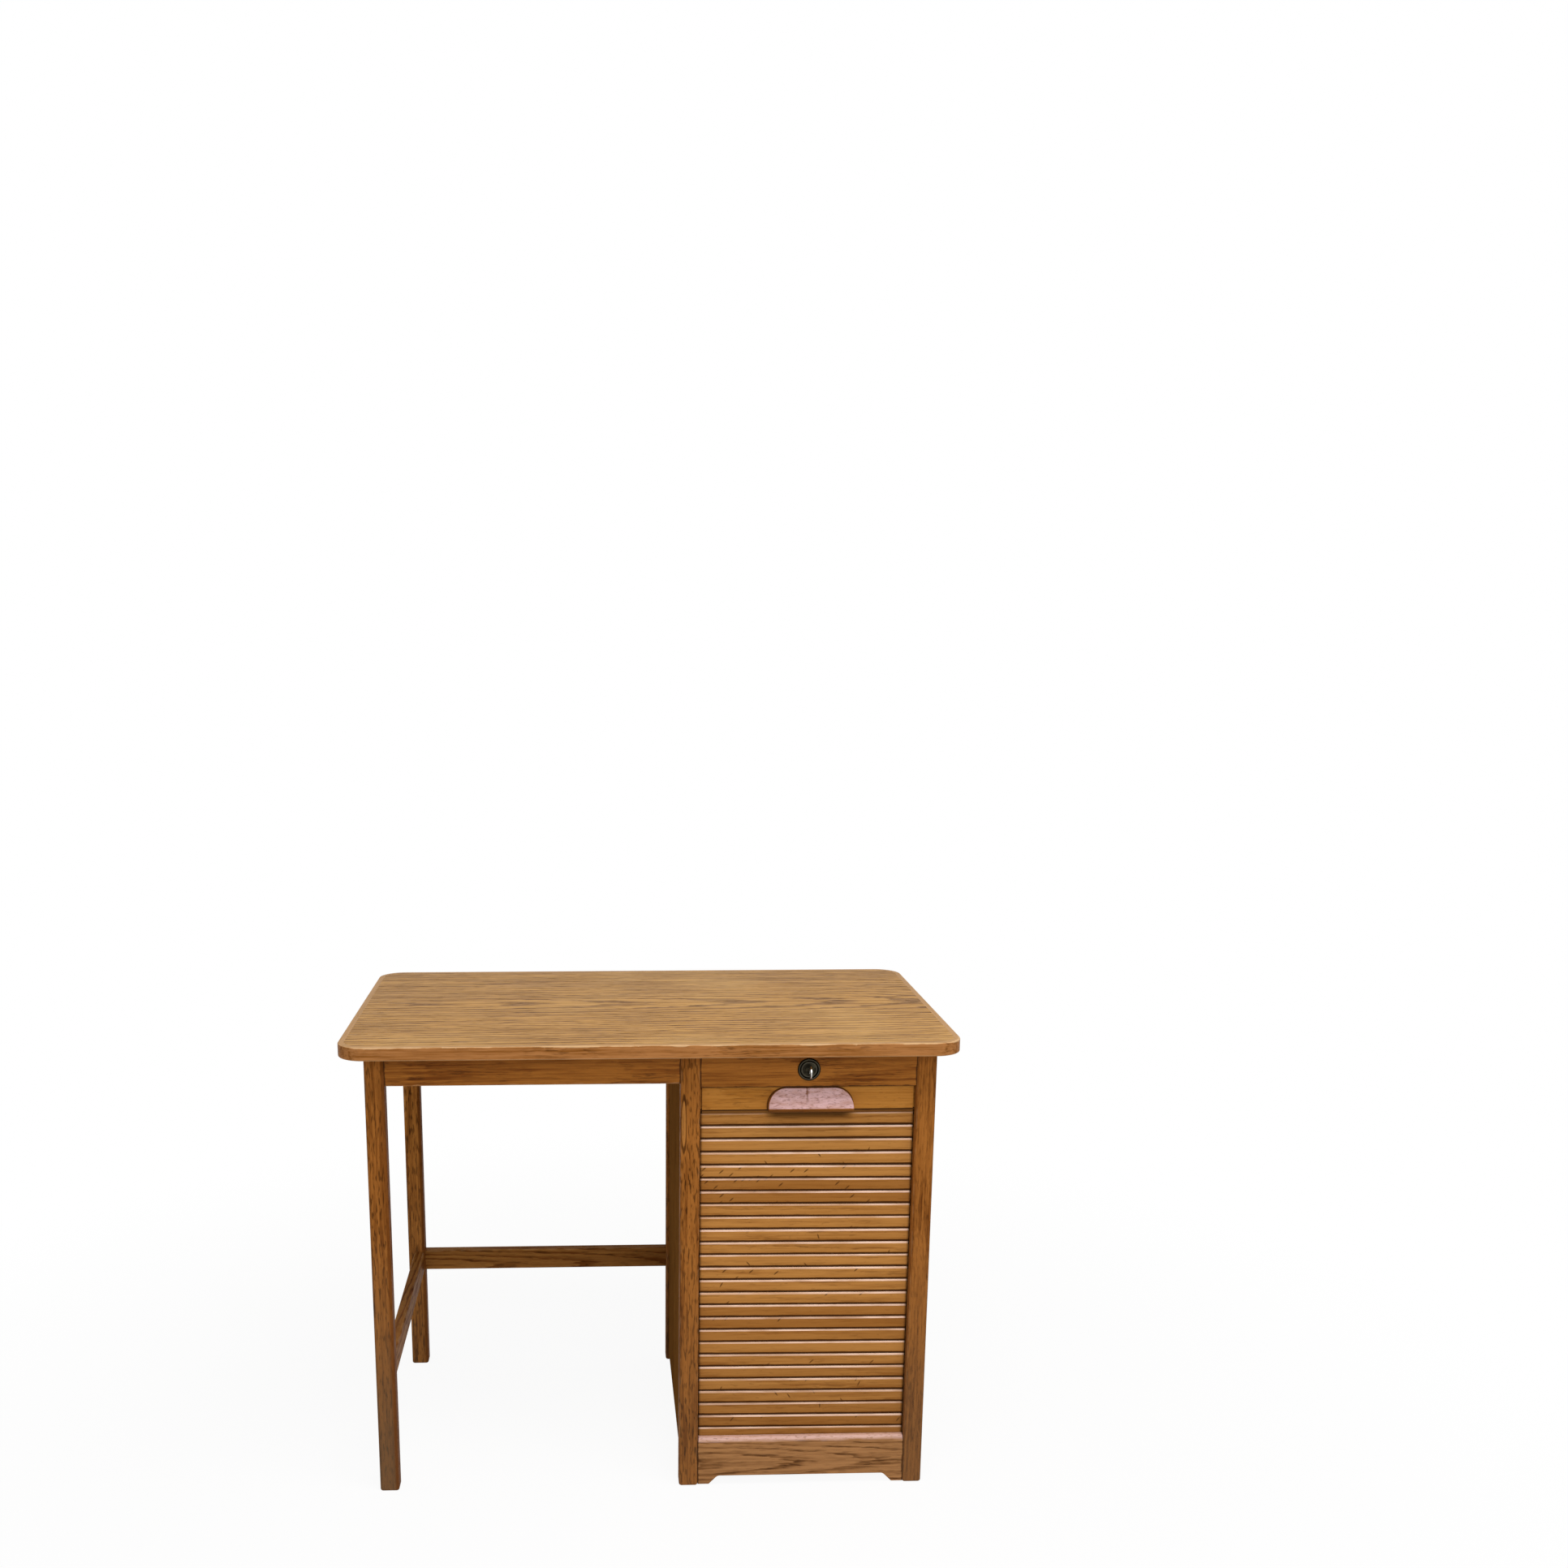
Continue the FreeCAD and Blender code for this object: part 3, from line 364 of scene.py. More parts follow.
@node_group
def oak_grain(place: "Vector", light: "Color", dark: "Color", pore: "Color", spacing, depth, lean, waver,
              rings, pore_stretch: "Vector", pores, spread, flecks, fibre, streak, tone, gloss):
    """Growth rings about a leaning pith, with pores, fibres and flecks drawn out along the grain."""
    along, across, deep = split(place)
    drift = sway(noise(place, (2.2, 11, 11), 3.0), waver)
    twist = sway(noise(place, (1.1, 3, 3)), waver)
    ripple = sway(noise(place, (26, 150, 150)), spacing * 0.75)
    from_pith = reckon("LENGTH", join(across + drift, deep + (along * lean + depth) + twist, 0.0))
    ring = reckon("FRACT", (from_pith + ripple) / spacing)
    broken = span(noise(place, (7, 110, 110)), 0.32, 0.62, 0.35, 1.0)
    early = most(span(ring, 0.0, 0.5, 1.0, 0.0), span(ring, 0.9, 1.0)) * broken
    fibres = noise(place, (10, 300, 300), 3.0)
    streaks = noise(place, pore_stretch * (0.095, 0.21, 0.21))
    tones = noise(place, (3, 14, 14))
    holes = span(noise(place, pore_stretch, 1.5), 0.52, 0.64) * (early * (1.0 - spread) + spread)
    fleck = span(noise(place, (75, 230, 230), 1.0), 0.665, 0.735)

    darkness = early * rings + sway(fibres, fibre) + sway(streaks, streak) + sway(tones, tone) + 0.3
    stained = mix(span(darkness, 0.0, 1.0), light, dark)
    stained = mix(fleck * flecks, mix(holes * pores, stained, pore), pore)
    return {"Color": stained, "Height": fibres * 0.35 - holes * 0.8,
            "Roughness": gloss + holes * 0.2 + sway(streaks, 0.16)}


@node_group
def worn_edges(place: "Vector", low: "Vector", high: "Vector", width):
    """Mask along the edges of a box-shaped board, broken up as real wear is."""
    x, y, z = split(least(place - low, high - place))
    edge = most(least(x, y), least(most(x, y), z))
    reach = width * span(noise(place, (38, 38, 38), 4.0), 0.35, 0.7, 0.25, 2.0)
    return {"Mask": span(1.0 - edge / reach, 0.0, 0.6)}


@node_group
def worn_rim(place: "Vector", half: "Vector", corner, level, width):
    """Masks along the upper rim of a round-cornered top: where it is rubbed and where it is chipped."""
    x, y, _ = split(abs(place) - (half - join(corner, corner, 0.0)))
    outside = reckon("LENGTH", join(most(x, 0.0), most(y, 0.0), 0.0))
    side = corner - (outside + least(most(x, y), 0.0))
    edge = most(side, level - split(place)[2])
    reach = width * span(noise(place, (26, 26, 26), 4.0), 0.35, 0.7, 0.5, 1.7)
    nicks = span(noise(place, (90, 90, 90)), 0.64, 0.72)
    near = span(edge, 0.0, width * 2.4, 1.0, 0.0)
    return {"Mask": span(1.0 - edge / reach, 0.0, 0.6), "Chips": nicks * near}


# How far the top of the darkening towards the floor strays
GRIME_STRAY = 0.09


@node_group
def foot_grime(place: "Vector", reach):
    """Darkening that thins out from the floor up, to a height that strays."""
    ragged = split(place)[2] + sway(noise(place, (60, 60, 22), 3.0), GRIME_STRAY)
    return {"Mask": span(ragged, reach, 0.0)}


@node_group
def seam_dirt(place: "Vector", low: "Vector", high: "Vector", width):
    """Dark lines where a board meets its neighbours at both ends and at top and bottom."""
    x, _, z = split(least(place - low, high - place))
    reach = width * span(noise(place, (70, 70, 70), 3.0), 0.3, 0.7, 0.5, 1.3)
    return {"Mask": span(least(x, z) / reach, 1.0, 0.45)}


@node_group
def dark_dashes(place: "Vector", amount, slant):
    """Short dark dashes, slanted one way: nicks where they are few, the wood's rays where they are many."""
    turned = add(place.tree, "ShaderNodeVectorRotate", {"Vector": place, "Angle": slant},
                 rotation_type="Z_AXIS")
    distance = add(place.tree, "ShaderNodeTexVoronoi", {"Vector": turned * (130, 30, 0), "Scale": 1.0},
                   "Distance", feature="F1", voronoi_dimensions="2D")
    chosen = reckon("LESS_THAN", split(distance.also("Color"))[0], amount)
    return {"Mask": span(distance, 0.08, 0.2, 1.0, 0.0) * chosen}


@node_group
def rubbed_metal(place: "Vector", base: "Color", rubbed: "Color", gloss):
    """Coating worn in patches and fine scratches."""
    patch = span(noise(place, (120, 120, 120), 3.0), 0.4, 0.75)
    scratch = span(noise(place, (90, 900, 240)), 0.62, 0.75)
    return {"Color": mix(most(patch, scratch * 0.35), base, rubbed), "Height": scratch * -1.0,
            "Roughness": gloss + sway(patch, 0.2)}


@node_group
def canvas_weave(place: "Vector", yarn: "Color", gap: "Color", pitch):
    """Plain weave: yarns over and under each other along two directions."""
    turns = math.tau / pitch
    x, y, z = split(place)
    slub = noise(place, (300, 300, 300))
    over = span(reckon("SINE", x * turns + slub) * reckon("SINE", (z - y) * turns + slub), -0.8, 0.8)
    return {"Color": mix(over, gap, yarn), "Height": over}


def new_material(name):
    """Empty material, and the Object coordinates to read in it."""
    material = bpy.data.materials.new(name)
    material.use_nodes = True
    material.node_tree.nodes.clear()
    return material, add(material.node_tree, "ShaderNodeTexCoord", output="Object")


def finish_material(base, roughness, height, relief, sockets):
    """Principled surface with its bump; the sockets hold what is the same all over."""
    bump = add(base.tree, "ShaderNodeBump", {"Height": height, "Strength": 1.0, "Distance": relief})
    surface = {"Base Color": base, "Roughness": roughness, "Normal": bump, **sockets}
    shader = add(base.tree, "ShaderNodeBsdfPrincipled", surface)
    add(base.tree, "ShaderNodeOutputMaterial", {"Surface": shader})


@dataclass
class Figure:
    """How a board was cut: what its rings, pores and flecks look like on its face."""
    spacing: float
    depth: float
    lean: float
    waver: float
    rings: float
    pore_stretch: tuple = (36, 300, 300)
    pores: float = 0.75
    spread: float = 0.25
    flecks: float = 0.2
    fibre: float = 1.1
    streak: float = 0.6
    tone: float = 0.7
    gloss: float = 0.36


RIFT_SAWN = Figure(spacing=0.008, depth=0.15, lean=0.02, waver=0.014, rings=0.3,
                   pore_stretch=(52, 620, 620), pores=0.6, flecks=0.08, fibre=1.9, streak=0.8, tone=0.5)
COARSE = replace(RIFT_SAWN, pore_stretch=(50, 310, 310), pores=0.85, spread=0.7, flecks=0.2, fibre=1.7,
                 streak=0.9, gloss=0.5)
STRAIGHT = replace(COARSE, pore_stretch=(60, 380, 380), pores=0.5, spread=0.6, streak=0.35, tone=0.4)
TOP_VENEER = Figure(spacing=0.013, depth=0.045, lean=0.075, waver=0.034, rings=0.85,
                    pore_stretch=(42, 400, 400), pores=0.9, flecks=0.05, fibre=1.5, streak=1.2,
                    tone=0.6, gloss=0.46)
CATHEDRAL = Figure(spacing=0.008, depth=0.03, lean=0.055, waver=0.016, rings=0.65,
                   pore_stretch=(44, 300, 300), pores=0.7, flecks=0.05, fibre=1.2, streak=0.45,
                   tone=0.4, gloss=0.5)
PANEL_VENEER = Figure(spacing=0.012, depth=0.05, lean=0.06, waver=0.03, rings=0.5,
                      pore_stretch=(42, 420, 420), pores=0.7, flecks=0.1, tone=0.5, gloss=0.5)
QUIET = Figure(spacing=0.010, depth=0.08, lean=0.03, waver=0.02, rings=0.3,
               pore_stretch=(40, 420, 420), pores=0.35, tone=0.5)
PLAIN_INSIDE = Figure(spacing=0.010, depth=0.06, lean=0.03, waver=0.02, rings=0.4, pores=0.25,
                      flecks=0.08, gloss=0.55)

# The stretch of tree that boards are cut from, and how far off its middle
TREE_LENGTH = (2, 40)
OFF_MIDDLE = (-0.012, 0.012)
GRAIN_RELIEF = 0.00022
CANVAS_RELIEF = 0.0003
METAL_RELIEF = 0.00004
LACQUER = {"Specular IOR Level": 0.12, "Specular Tint": (1.0, 0.76, 0.58)}
RUBBED_LACQUER = {"Specular IOR Level": 0.13, "Specular Tint": (1.0, 0.72, 0.5)}
WORN_LACQUER = {"Specular IOR Level": 0.02, "Specular Tint": (1.0, 0.72, 0.5)}
MATT_WAX = {"Specular IOR Level": 0.0}
RAW_CLOTH = {"Sheen Weight": 0.2}
BARE_METAL = {"Metallic": 1.0}
CLOTH_ROUGHNESS = 0.9

# Painted marks: distance from an edge, in metres, at which each begins, the one at which it is whole, and
# its strength where that is less than 1
# Painted sheen on the solid edge's upper face
LIPPING_FACE = (0.0010, 0.0002, 0.8)
# Painted highlight along the solid edge's lower arris
LIPPING_ARRIS = (0.0026, 0.0008, 0.32)
# Painted shade on the inner side of the left legs
LEG_INSIDE = (0.0075, 0.0030, 0.75)
# Painted highlight on the kick board's nose
NOSE_FRONT = (0.0085, 0.0010)
# Slats darker towards the bottom of the curtain
SLAT_DUST = (0.36, 0.08, 0.28)
# Painted shade, and a painted shadow line in the gap, along the foot of each slat
SLAT_SHADE = (0.008, 0.002, 0.25)
SLAT_LINE = (0.0042, 0.0030, 0.95)
# Painted shade where the slats run in behind the posts
SLAT_ENDS = (0.006, 0.001, 0.75)
# Painted highlight, with wear, on each slat's bevel
SLAT_BEVEL_EDGE = (-0.0003, 0.0002)
# Heights above the first slat's foot at which the pull's painted shadow begins and is whole
FINGER_MARKS = (0.006, 0.020, 0.75)
# Painted shade on the lead slat: under and in the bead, and round the pull
BEAD_STRIP = (0.0004, -0.0004, 0.7)
BEAD_GROOVE = (0.0014, 0.0007, 0.85)
PULL_OUTLINE = (0.0022, 0.0008, 0.85)
ABOVE_BEAD = (0.0, 0.0005)
# Painted reflection on the pull's sloping face
SLOPE_FACE = (0.0004, 0.0001)
SLOPE_DRIP = (0.0032, 0.0004, 0.8)
SEAM_STRENGTH = 0.85
# Where a mark grows stronger or weaker: two distances, and the strength at each; the rim's wear grows
# towards the front, the nose's painted highlight weakens on its upper face
FRONT_USE = (0.06, 0.02, 0.3, 0.75)
NOSE_FACE = (0.0010, 0.0001, 1.0, 0.7)
# The pull's drip thins out from this far below the upper edge to this far above the lower one
DRIP_ENDS = 0.008
# How far it hangs left of the pull's middle
DRIP_ASIDE = 0.006
# How far the edge of a mark strays
NOSE_STRAY = 0.006
DRIP_STRAY = 0.006
LINE_STRAY = 0.0012
# Wood let into a post: how far in from its left edge, how far above the floor, and half its size
PATCH_INSET = 0.0055
PATCH_HEIGHT = 0.645
PATCH_HALF = (0.0042, 0.012, 0.045)
# Marks in shares of a size: the patch's wood and glue line, and the pull's lower edge in heights of its nose
PATCH_WOOD = (0.95, 0.8, 0.35)
PATCH_GLUE = (0.2, 0.08, 0.75)
HANDLED_EDGE = (1.0, 0.4, 0.6)


def board_place(coordinates, turn, centre, seed):
    """Object coordinates turned to the board's own axes, each board cut from its own stretch of tree."""
    angles = Euler([math.radians(degrees) for degrees in turn], "XYZ")
    dice = random.Random(seed)
    start = Vector((dice.uniform(*TREE_LENGTH), dice.uniform(*OFF_MIDDLE), 0.0))
    turned = {"Vector": coordinates, "Rotation": angles, "Location": start - angles.to_matrix() @ centre}
    return add(coordinates.tree, "ShaderNodeMapping", turned), start.x


def oak_board(node, turn, figure, light, dark=None, name=None, wear=0.0, grime=0.0, seams=None, extra=None,
              finish=LACQUER):
    """Lacquered oak for one CAD board, with wear at its edges, darker towards the floor, and dirty in its
    seams where asked.
    """
    oak = bpy.context.scene.desk_oak
    name = name or f"oak_{node}"
    material, coordinates = new_material(name)
    low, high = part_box(node)
    place, start = board_place(coordinates, turn, (low + high) / 2, name)
    cut = replace(figure, depth=figure.depth - start * figure.lean)
    tones = {"light": getattr(oak, f"{light}_light"), "dark": getattr(oak, f"{dark or light}_dark")}
    grain = oak_grain(place, pore=oak.pore, **tones, **asdict(cut))
    base = grain["Color"]
    if wear:
        rubbed = worn_edges(coordinates, low=low, high=high, width=oak.wear_width)["Mask"]
        base = mix(rubbed * wear, base, oak.worn)
    if grime:
        base = mix(foot_grime(coordinates, reach=oak.grime_height)["Mask"] * grime, base, oak.grime)
    if extra:
        base = extra(oak, node, coordinates, base)
    if seams:
        lines = seam_dirt(coordinates, low=seams[0], high=seams[1], width=oak.seam_width)["Mask"]
        base = mix(lines * SEAM_STRENGTH, base, oak.pore)
    finish_material(base, grain["Roughness"], grain["Height"], GRAIN_RELIEF, finish)
    return material


def end_seams(node, left, right):
    """Corners of a box that meets a board at its ends and stays clear of its top and bottom."""
    low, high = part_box(node)
    return (left, 0, low.z - high.z), (right, 0, 2 * high.z)


def dress(material, *nodes):
    """Give CAD nodes their finish; their shapes stay."""
    for node in nodes:
        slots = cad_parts[node].data.materials
        slots.clear()
        slots.append(material)


def dress_oak(node, *cut, **marks):
    dress(oak_board(node, *cut, **marks), node)


def finish_mesh(name, shape, material, body, slot_name, replaced):
    """Turn a bmesh into a piece that rides on a body and stands for a CAD node."""
    bmesh.ops.recalc_face_normals(shape, faces=shape.faces)
    for face in shape.faces:
        face.smooth = True
    for edge in shape.edges:
        edge.smooth = len(edge.link_faces) == 2 and edge.calc_face_angle() < SMOOTH_ANGLE
    piece = link_mesh(name, shape, material)
    even = piece.modifiers.new("flat faces stay flat", "WEIGHTED_NORMAL")
    even.keep_sharp = True
    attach(piece, body)
    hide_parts(replaced)
    return piece


def link_mesh(name, shape, material):
    mesh = bpy.data.meshes.new(name)
    shape.to_mesh(mesh)
    shape.free()
    mesh.materials.append(material)
    piece = bpy.data.objects.new(name, mesh)
    bpy.context.scene.collection.objects.link(piece)
    return piece


def add_block(shape, low, high):
    made = bmesh.ops.create_cube(shape, size=1.0)["verts"]
    bmesh.ops.scale(shape, vec=high - low, verts=made)
    bmesh.ops.translate(shape, vec=(low + high) / 2, verts=made)


def bevel(shape, edges, width, segments):
    bmesh.ops.bevel(shape, geom=edges, offset=width, offset_type="OFFSET", segments=segments, profile=0.5,
                    affect="EDGES", material=-1, clamp_overlap=True)


def edges_where(shape, test):
    """Edges both of whose ends pass the test."""
    return [edge for edge in shape.edges if all(test(end.co) for end in edge.verts)]


def sharp_edges(shape):
    return [edge for edge in shape.edges if len(edge.link_faces) == 2
            and edge.calc_face_angle() > SMOOTH_ANGLE]


def thicken(shape, thickness):
    bmesh.ops.recalc_face_normals(shape, faces=shape.faces)
    bmesh.ops.solidify(shape, geom=shape.faces[:], thickness=thickness)


def only(kind, items):
    """Those of a bmesh result's items that are of one kind."""
    return [item for item in items if isinstance(item, kind)]


def worn_lipping(oak, node, coordinates, base):
    """Upper face lightened with painted sheen, a painted highlight on the lower arris, and a rim with wear
    that is greatest at the front.
    """
    low, high = CAD_BOX
    _, deep, rise = split(coordinates)
    # Painted sheen on the upper face
    base = mix(fade(high.z - rise, *LIPPING_FACE), base, oak.edge_top)
    # Painted highlight along the lower arris
    base = mix(fade(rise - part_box(node)[0].z, *LIPPING_ARRIS), base, oak.worn)
    used = span(deep - low.y, *FRONT_USE)
    rim = worn_rim(coordinates, half=((high.x - low.x) / 2, (high.y - low.y) / 2, 0.0),
                   corner=bpy.context.scene.desk_shapes.top_corner, level=high.z, width=oak.wear_width)
    for mask in rim.values():
        base = mix(mask * used, base, oak.worn)
    return base


def faded_patches(oak, node, coordinates, base):
    """Wide soft lighter patches on the veneer: painted reflection of its sheen."""
    patches = fade(noise(coordinates, (2.6, 3.4, 1)), 0.45, 0.68, 0.3)
    return mix(patches, base, oak.top_faded)


class DESK_OT_worktop(bpy.types.Operator):
    """Veneered top and its solid edge, with a worn and nicked rim"""
    bl_idname = "desk.worktop"
    bl_label = "Worktop"

    def execute(self, context):
        dress_oak("top_panel", LYING, TOP_VENEER, "top", name="oak_veneer_top", extra=faded_patches,
                  finish=RUBBED_LACQUER)
        sides = {"front": LENGTHWAYS, "back": LENGTHWAYS, "left": DEPTHWAYS, "right": DEPTHWAYS}
        for side, turn in sides.items():
            dress_oak(f"top_lipping_{side}", turn, RIFT_SAWN, "edge", extra=worn_lipping,
                      finish=WORN_LACQUER)
        return {"FINISHED"}


def unbleached_inside(oak, node, coordinates, base):
    """Painted shade on the inner side of a leg."""
    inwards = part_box(node)[1].x - split(coordinates)[0]
    return mix(fade(inwards, *LEG_INSIDE), base, oak.leg_dark)


class DESK_OT_leg_frame(bpy.types.Operator):
    """Left legs, aprons and stretchers"""
    bl_idname = "desk.leg_frame"
    bl_label = "Leg frame"

    def execute(self, context):
        for node, light, grime in (("left_front_leg", "leg", 0.75), ("left_back_leg", "back_leg", 0.3)):
            dress_oak(node, UPRIGHT, COARSE, light, "leg", wear=0.1, grime=grime, extra=unbleached_inside,
                      finish=WORN_LACQUER)
        left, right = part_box("left_front_leg")[1].x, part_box("left_front_post")[0].x
        dress_oak("front_apron", LENGTHWAYS, RIFT_SAWN, "rail", wear=0.2,
                  seams=end_seams("front_apron", left, right))
        for node, turn in (("back_apron", LENGTHWAYS), ("left_side_apron", DEPTHWAYS)):
            dress_oak(node, turn, RIFT_SAWN, "rail", wear=0.2, finish=WORN_LACQUER)
        for node, turn in (("back_stretcher", LENGTHWAYS), ("left_side_stretcher", DEPTHWAYS)):
            dress_oak(node, turn, CATHEDRAL, "stretcher", "leg", wear=0.15, finish=WORN_LACQUER)
        return {"FINISHED"}


def let_in_patch(oak, node, coordinates, base):
    """Long lens of new wood let into the left edge of the post, with a dark glue line round it."""
    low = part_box(node)[0]
    middle = Vector((low.x + PATCH_INSET, low.y, PATCH_HEIGHT))
    reach = reckon("LENGTH", (coordinates - middle) / PATCH_HALF)
    base = mix(fade(reach, *PATCH_WOOD), base, oak.slat_light)
    return mix(fade(abs(reach - 1.0), *PATCH_GLUE), base, oak.pore)


def pale_nose(oak, node, coordinates, base):
    """Painted highlight along the kick board's nose, thinner on its upper face and broken by specks."""
    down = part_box(node)[1].z - split(coordinates)[2]
    ragged = sway(noise(coordinates, (30, 200, 200), 3.0), NOSE_STRAY)
    specks = span(noise(coordinates, (120, 420, 420)), 0.56, 0.66, 0.9, 0.45)
    # Painted highlight band along the nose
    mask = fade(down - ragged, *NOSE_FRONT) * span(down, *NOSE_FACE)
    return mix(mask * specks, base, oak.nose_bloom)


class DESK_OT_pedestal(bpy.types.Operator):
    """Posts, panels, lock rail and kick board"""
    bl_idname = "desk.pedestal"
    bl_label = "Pedestal"

    def execute(self, context):
        for node, figure, grime, extra in (
                ("left_front_post", COARSE, 0.3, let_in_patch), ("right_front_post", STRAIGHT, 0.5, None),
                ("left_back_post", COARSE, 0.3, None), ("right_back_post", COARSE, 0.3, None)):
            dress_oak(node, UPRIGHT, figure, "leg", wear=0.1, grime=grime, extra=extra, finish=WORN_LACQUER)
        for node, turn in (("left_side_panel", UPRIGHT_ASIDE), ("right_side_panel", UPRIGHT_ASIDE),
                           ("back_panel", UPRIGHT)):
            dress_oak(node, turn, PANEL_VENEER, "panel", finish=MATT_WAX)
        left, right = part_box("left_front_post")[1].x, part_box("right_front_post")[0].x
        low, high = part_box("lock_rail")
        dress_oak("lock_rail", LENGTHWAYS, RIFT_SAWN, "rail", seams=((left, 0, low.z), (right, 0, high.z)))
        dress_oak("kick_board", LENGTHWAYS, CATHEDRAL, "kick", extra=pale_nose,
                  seams=end_seams("kick_board", left, right))
        return {"FINISHED"}


class DESK_OT_interior(bpy.types.Operator):
    """Linings, floor, shelves, cleats and fixing blocks, unstained"""
    bl_idname = "desk.interior"
    bl_label = "Interior"

    def execute(self, context):
        turns = {"left_track_board": UPRIGHT_ASIDE, "right_track_board": UPRIGHT_ASIDE,
                 "pedestal_floor": LYING, "lower_shelf": LYING, "upper_shelf": LYING, "false_back": UPRIGHT,
                 "shelf_cleats": DEPTHWAYS, "top_fixing_blocks": LYING}
        for node, turn in turns.items():
            dress_oak(node, turn, PLAIN_INSIDE, "inner", name=f"inner_{node}")
        return {"FINISHED"}


# What each point of a slat knows: its slat's number, tone and rays, and its height above bevel and foot
SLAT_MARKS = ("slat_number", "slat_tone", "above_bevel", "above_foot", "ray_share", "ray_slant")
# How far along and across the tree the next slat is cut
NEXT_SLAT = (3.7, 0.031)
# Slats cut on the quarter, counted from 0 at the top, and the share of their face that shows rays
QUARTERED_SLATS = {4: 0.3, 5: 0.42, 6: 0.22, 12: 0.16, 14: 0.12, 19: 0.14}
FEW_RAYS, MORE_RAYS = 0.03, 0.12
RAY_SLANT = 0.85
RAY_STRENGTH = 0.75
# Steps that spread the rays' shares and slants evenly, but in no order, over the other slats
SHARE_STEP, SLANT_STEP = 0.618, 0.37
# Tone, from 0 to 1, at which a slat begins to darken or lighten, at which it has done so, and how much
DARKER_SLAT = (0.5, 1.0, 0.65)
LIGHTER_SLAT = (0.5, 0.0, 0.5)
# Marks of the first slat only, told by its number: none from a half up, and whole at 0
FIRST_SLAT = (0.5, 0.0)
# In pull widths from the pull's middle: where the pull's painted shadow lies on the first slat, and where it
# hides that slat's painted bevel highlight
UNDER_PULL = (0.55, 0.38)
COVERED_BEVEL = (0.6, 0.45, 0.45, 0.95)


def ray_marks(index):
    """Share of a slat's face that shows rays, and how far they slant."""
    if index in QUARTERED_SLATS:
        return QUARTERED_SLATS[index], RAY_SLANT
    few = FEW_RAYS + MORE_RAYS * (index * SHARE_STEP % 1) ** 3
    return few, (index * SLANT_STEP % 1 - 0.5) * 2 * RAY_SLANT


def slat_material():
    """Each slat its own stretch and tone of oak, with rays or nicks, a bevel with wear and a painted
    highlight, and painted shade along its foot, at its ends and under the pull.
    """
    oak = bpy.context.scene.desk_oak
    material, coordinates = new_material("oak_slats")
    tree = coordinates.tree
    slat, tone, above, foot, rays, slant = (
        add(tree, "ShaderNodeAttribute", output="Fac", attribute_name=mark) for mark in SLAT_MARKS)
    along, deep, rise = split(coordinates)
    own = join(slat * NEXT_SLAT[0] + along, slat * NEXT_SLAT[1] + rise, deep)
    grain = oak_grain(own, light=oak.slat_light, dark=oak.slat_dark, pore=oak.pore, **asdict(QUIET))
    base = mix(fade(tone, *DARKER_SLAT), grain["Color"], oak.slat_dark)
    base = mix(fade(tone, *LIGHTER_SLAT), base, oak.slat_light)
    base = mix(dark_dashes(own, amount=rays, slant=slant)["Mask"] * RAY_STRENGTH, base, oak.pore)
    # Slats darker towards the bottom of the curtain
    base = mix(fade(rise, *SLAT_DUST), base, oak.kick_dark)

    low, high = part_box("shutter_pull")
    from_pull = abs(along - (low.x + high.x) / 2) / (high.x - low.x)
    first = fade(slat, *FIRST_SLAT)
    # Painted shadow of the pull over the first slat's bevel highlight
    covered = first * span(from_pull, *COVERED_BEVEL)
    patchy = span(noise(own, (24, 120, 120), 3.0), 0.3, 0.6, 0.6, 1.0)
    # How strongly the bevel's wear and painted highlight show, weakest under the pull's painted shadow
    rubbed = span(noise(own, (5, 40, 40)), 0.35, 0.6, 0.5, 1.0) * (1.0 - covered)
    # Painted highlight and wear on each slat's bevel
    base = mix(fade(above, *SLAT_BEVEL_EDGE) * patchy * rubbed, base, oak.slat_edge)
    # Painted shade along each slat's foot
    base = mix(fade(foot, *SLAT_SHADE), base, oak.slat_dark)
    # Painted shadow line in the gap under each slat
    base = mix(fade(foot + sway(patchy, LINE_STRAY), *SLAT_LINE), base, oak.pore)
    # Painted shadow of the pull on the first slat
    handled = fade(from_pull, *UNDER_PULL) * fade(foot, *FINGER_MARKS)
    base = mix(handled * first, base, oak.pore)

    low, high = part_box("lock_rail")
    half = (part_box("right_front_post")[0].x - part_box("left_front_post")[1].x) / 2
    from_post = half - abs(along - (low.x + high.x) / 2)
    # Painted shade where the slats run in behind the posts
    base = mix(fade(from_post, *SLAT_ENDS), base, oak.pore)
    finish_material(base, grain["Roughness"], grain["Height"], GRAIN_RELIEF, WORN_LACQUER)
    return material


def canvas_material():
    metal = bpy.context.scene.desk_metal
    material, coordinates = new_material("raw_canvas")
    weave = canvas_weave(coordinates, yarn=metal.canvas, gap=metal.canvas_dark,
                         pitch=bpy.context.scene.desk_shapes.weave_pitch)
    finish_material(weave["Color"], CLOTH_ROUGHNESS, weave["Height"], CANVAS_RELIEF, RAW_CLOTH)
    return material


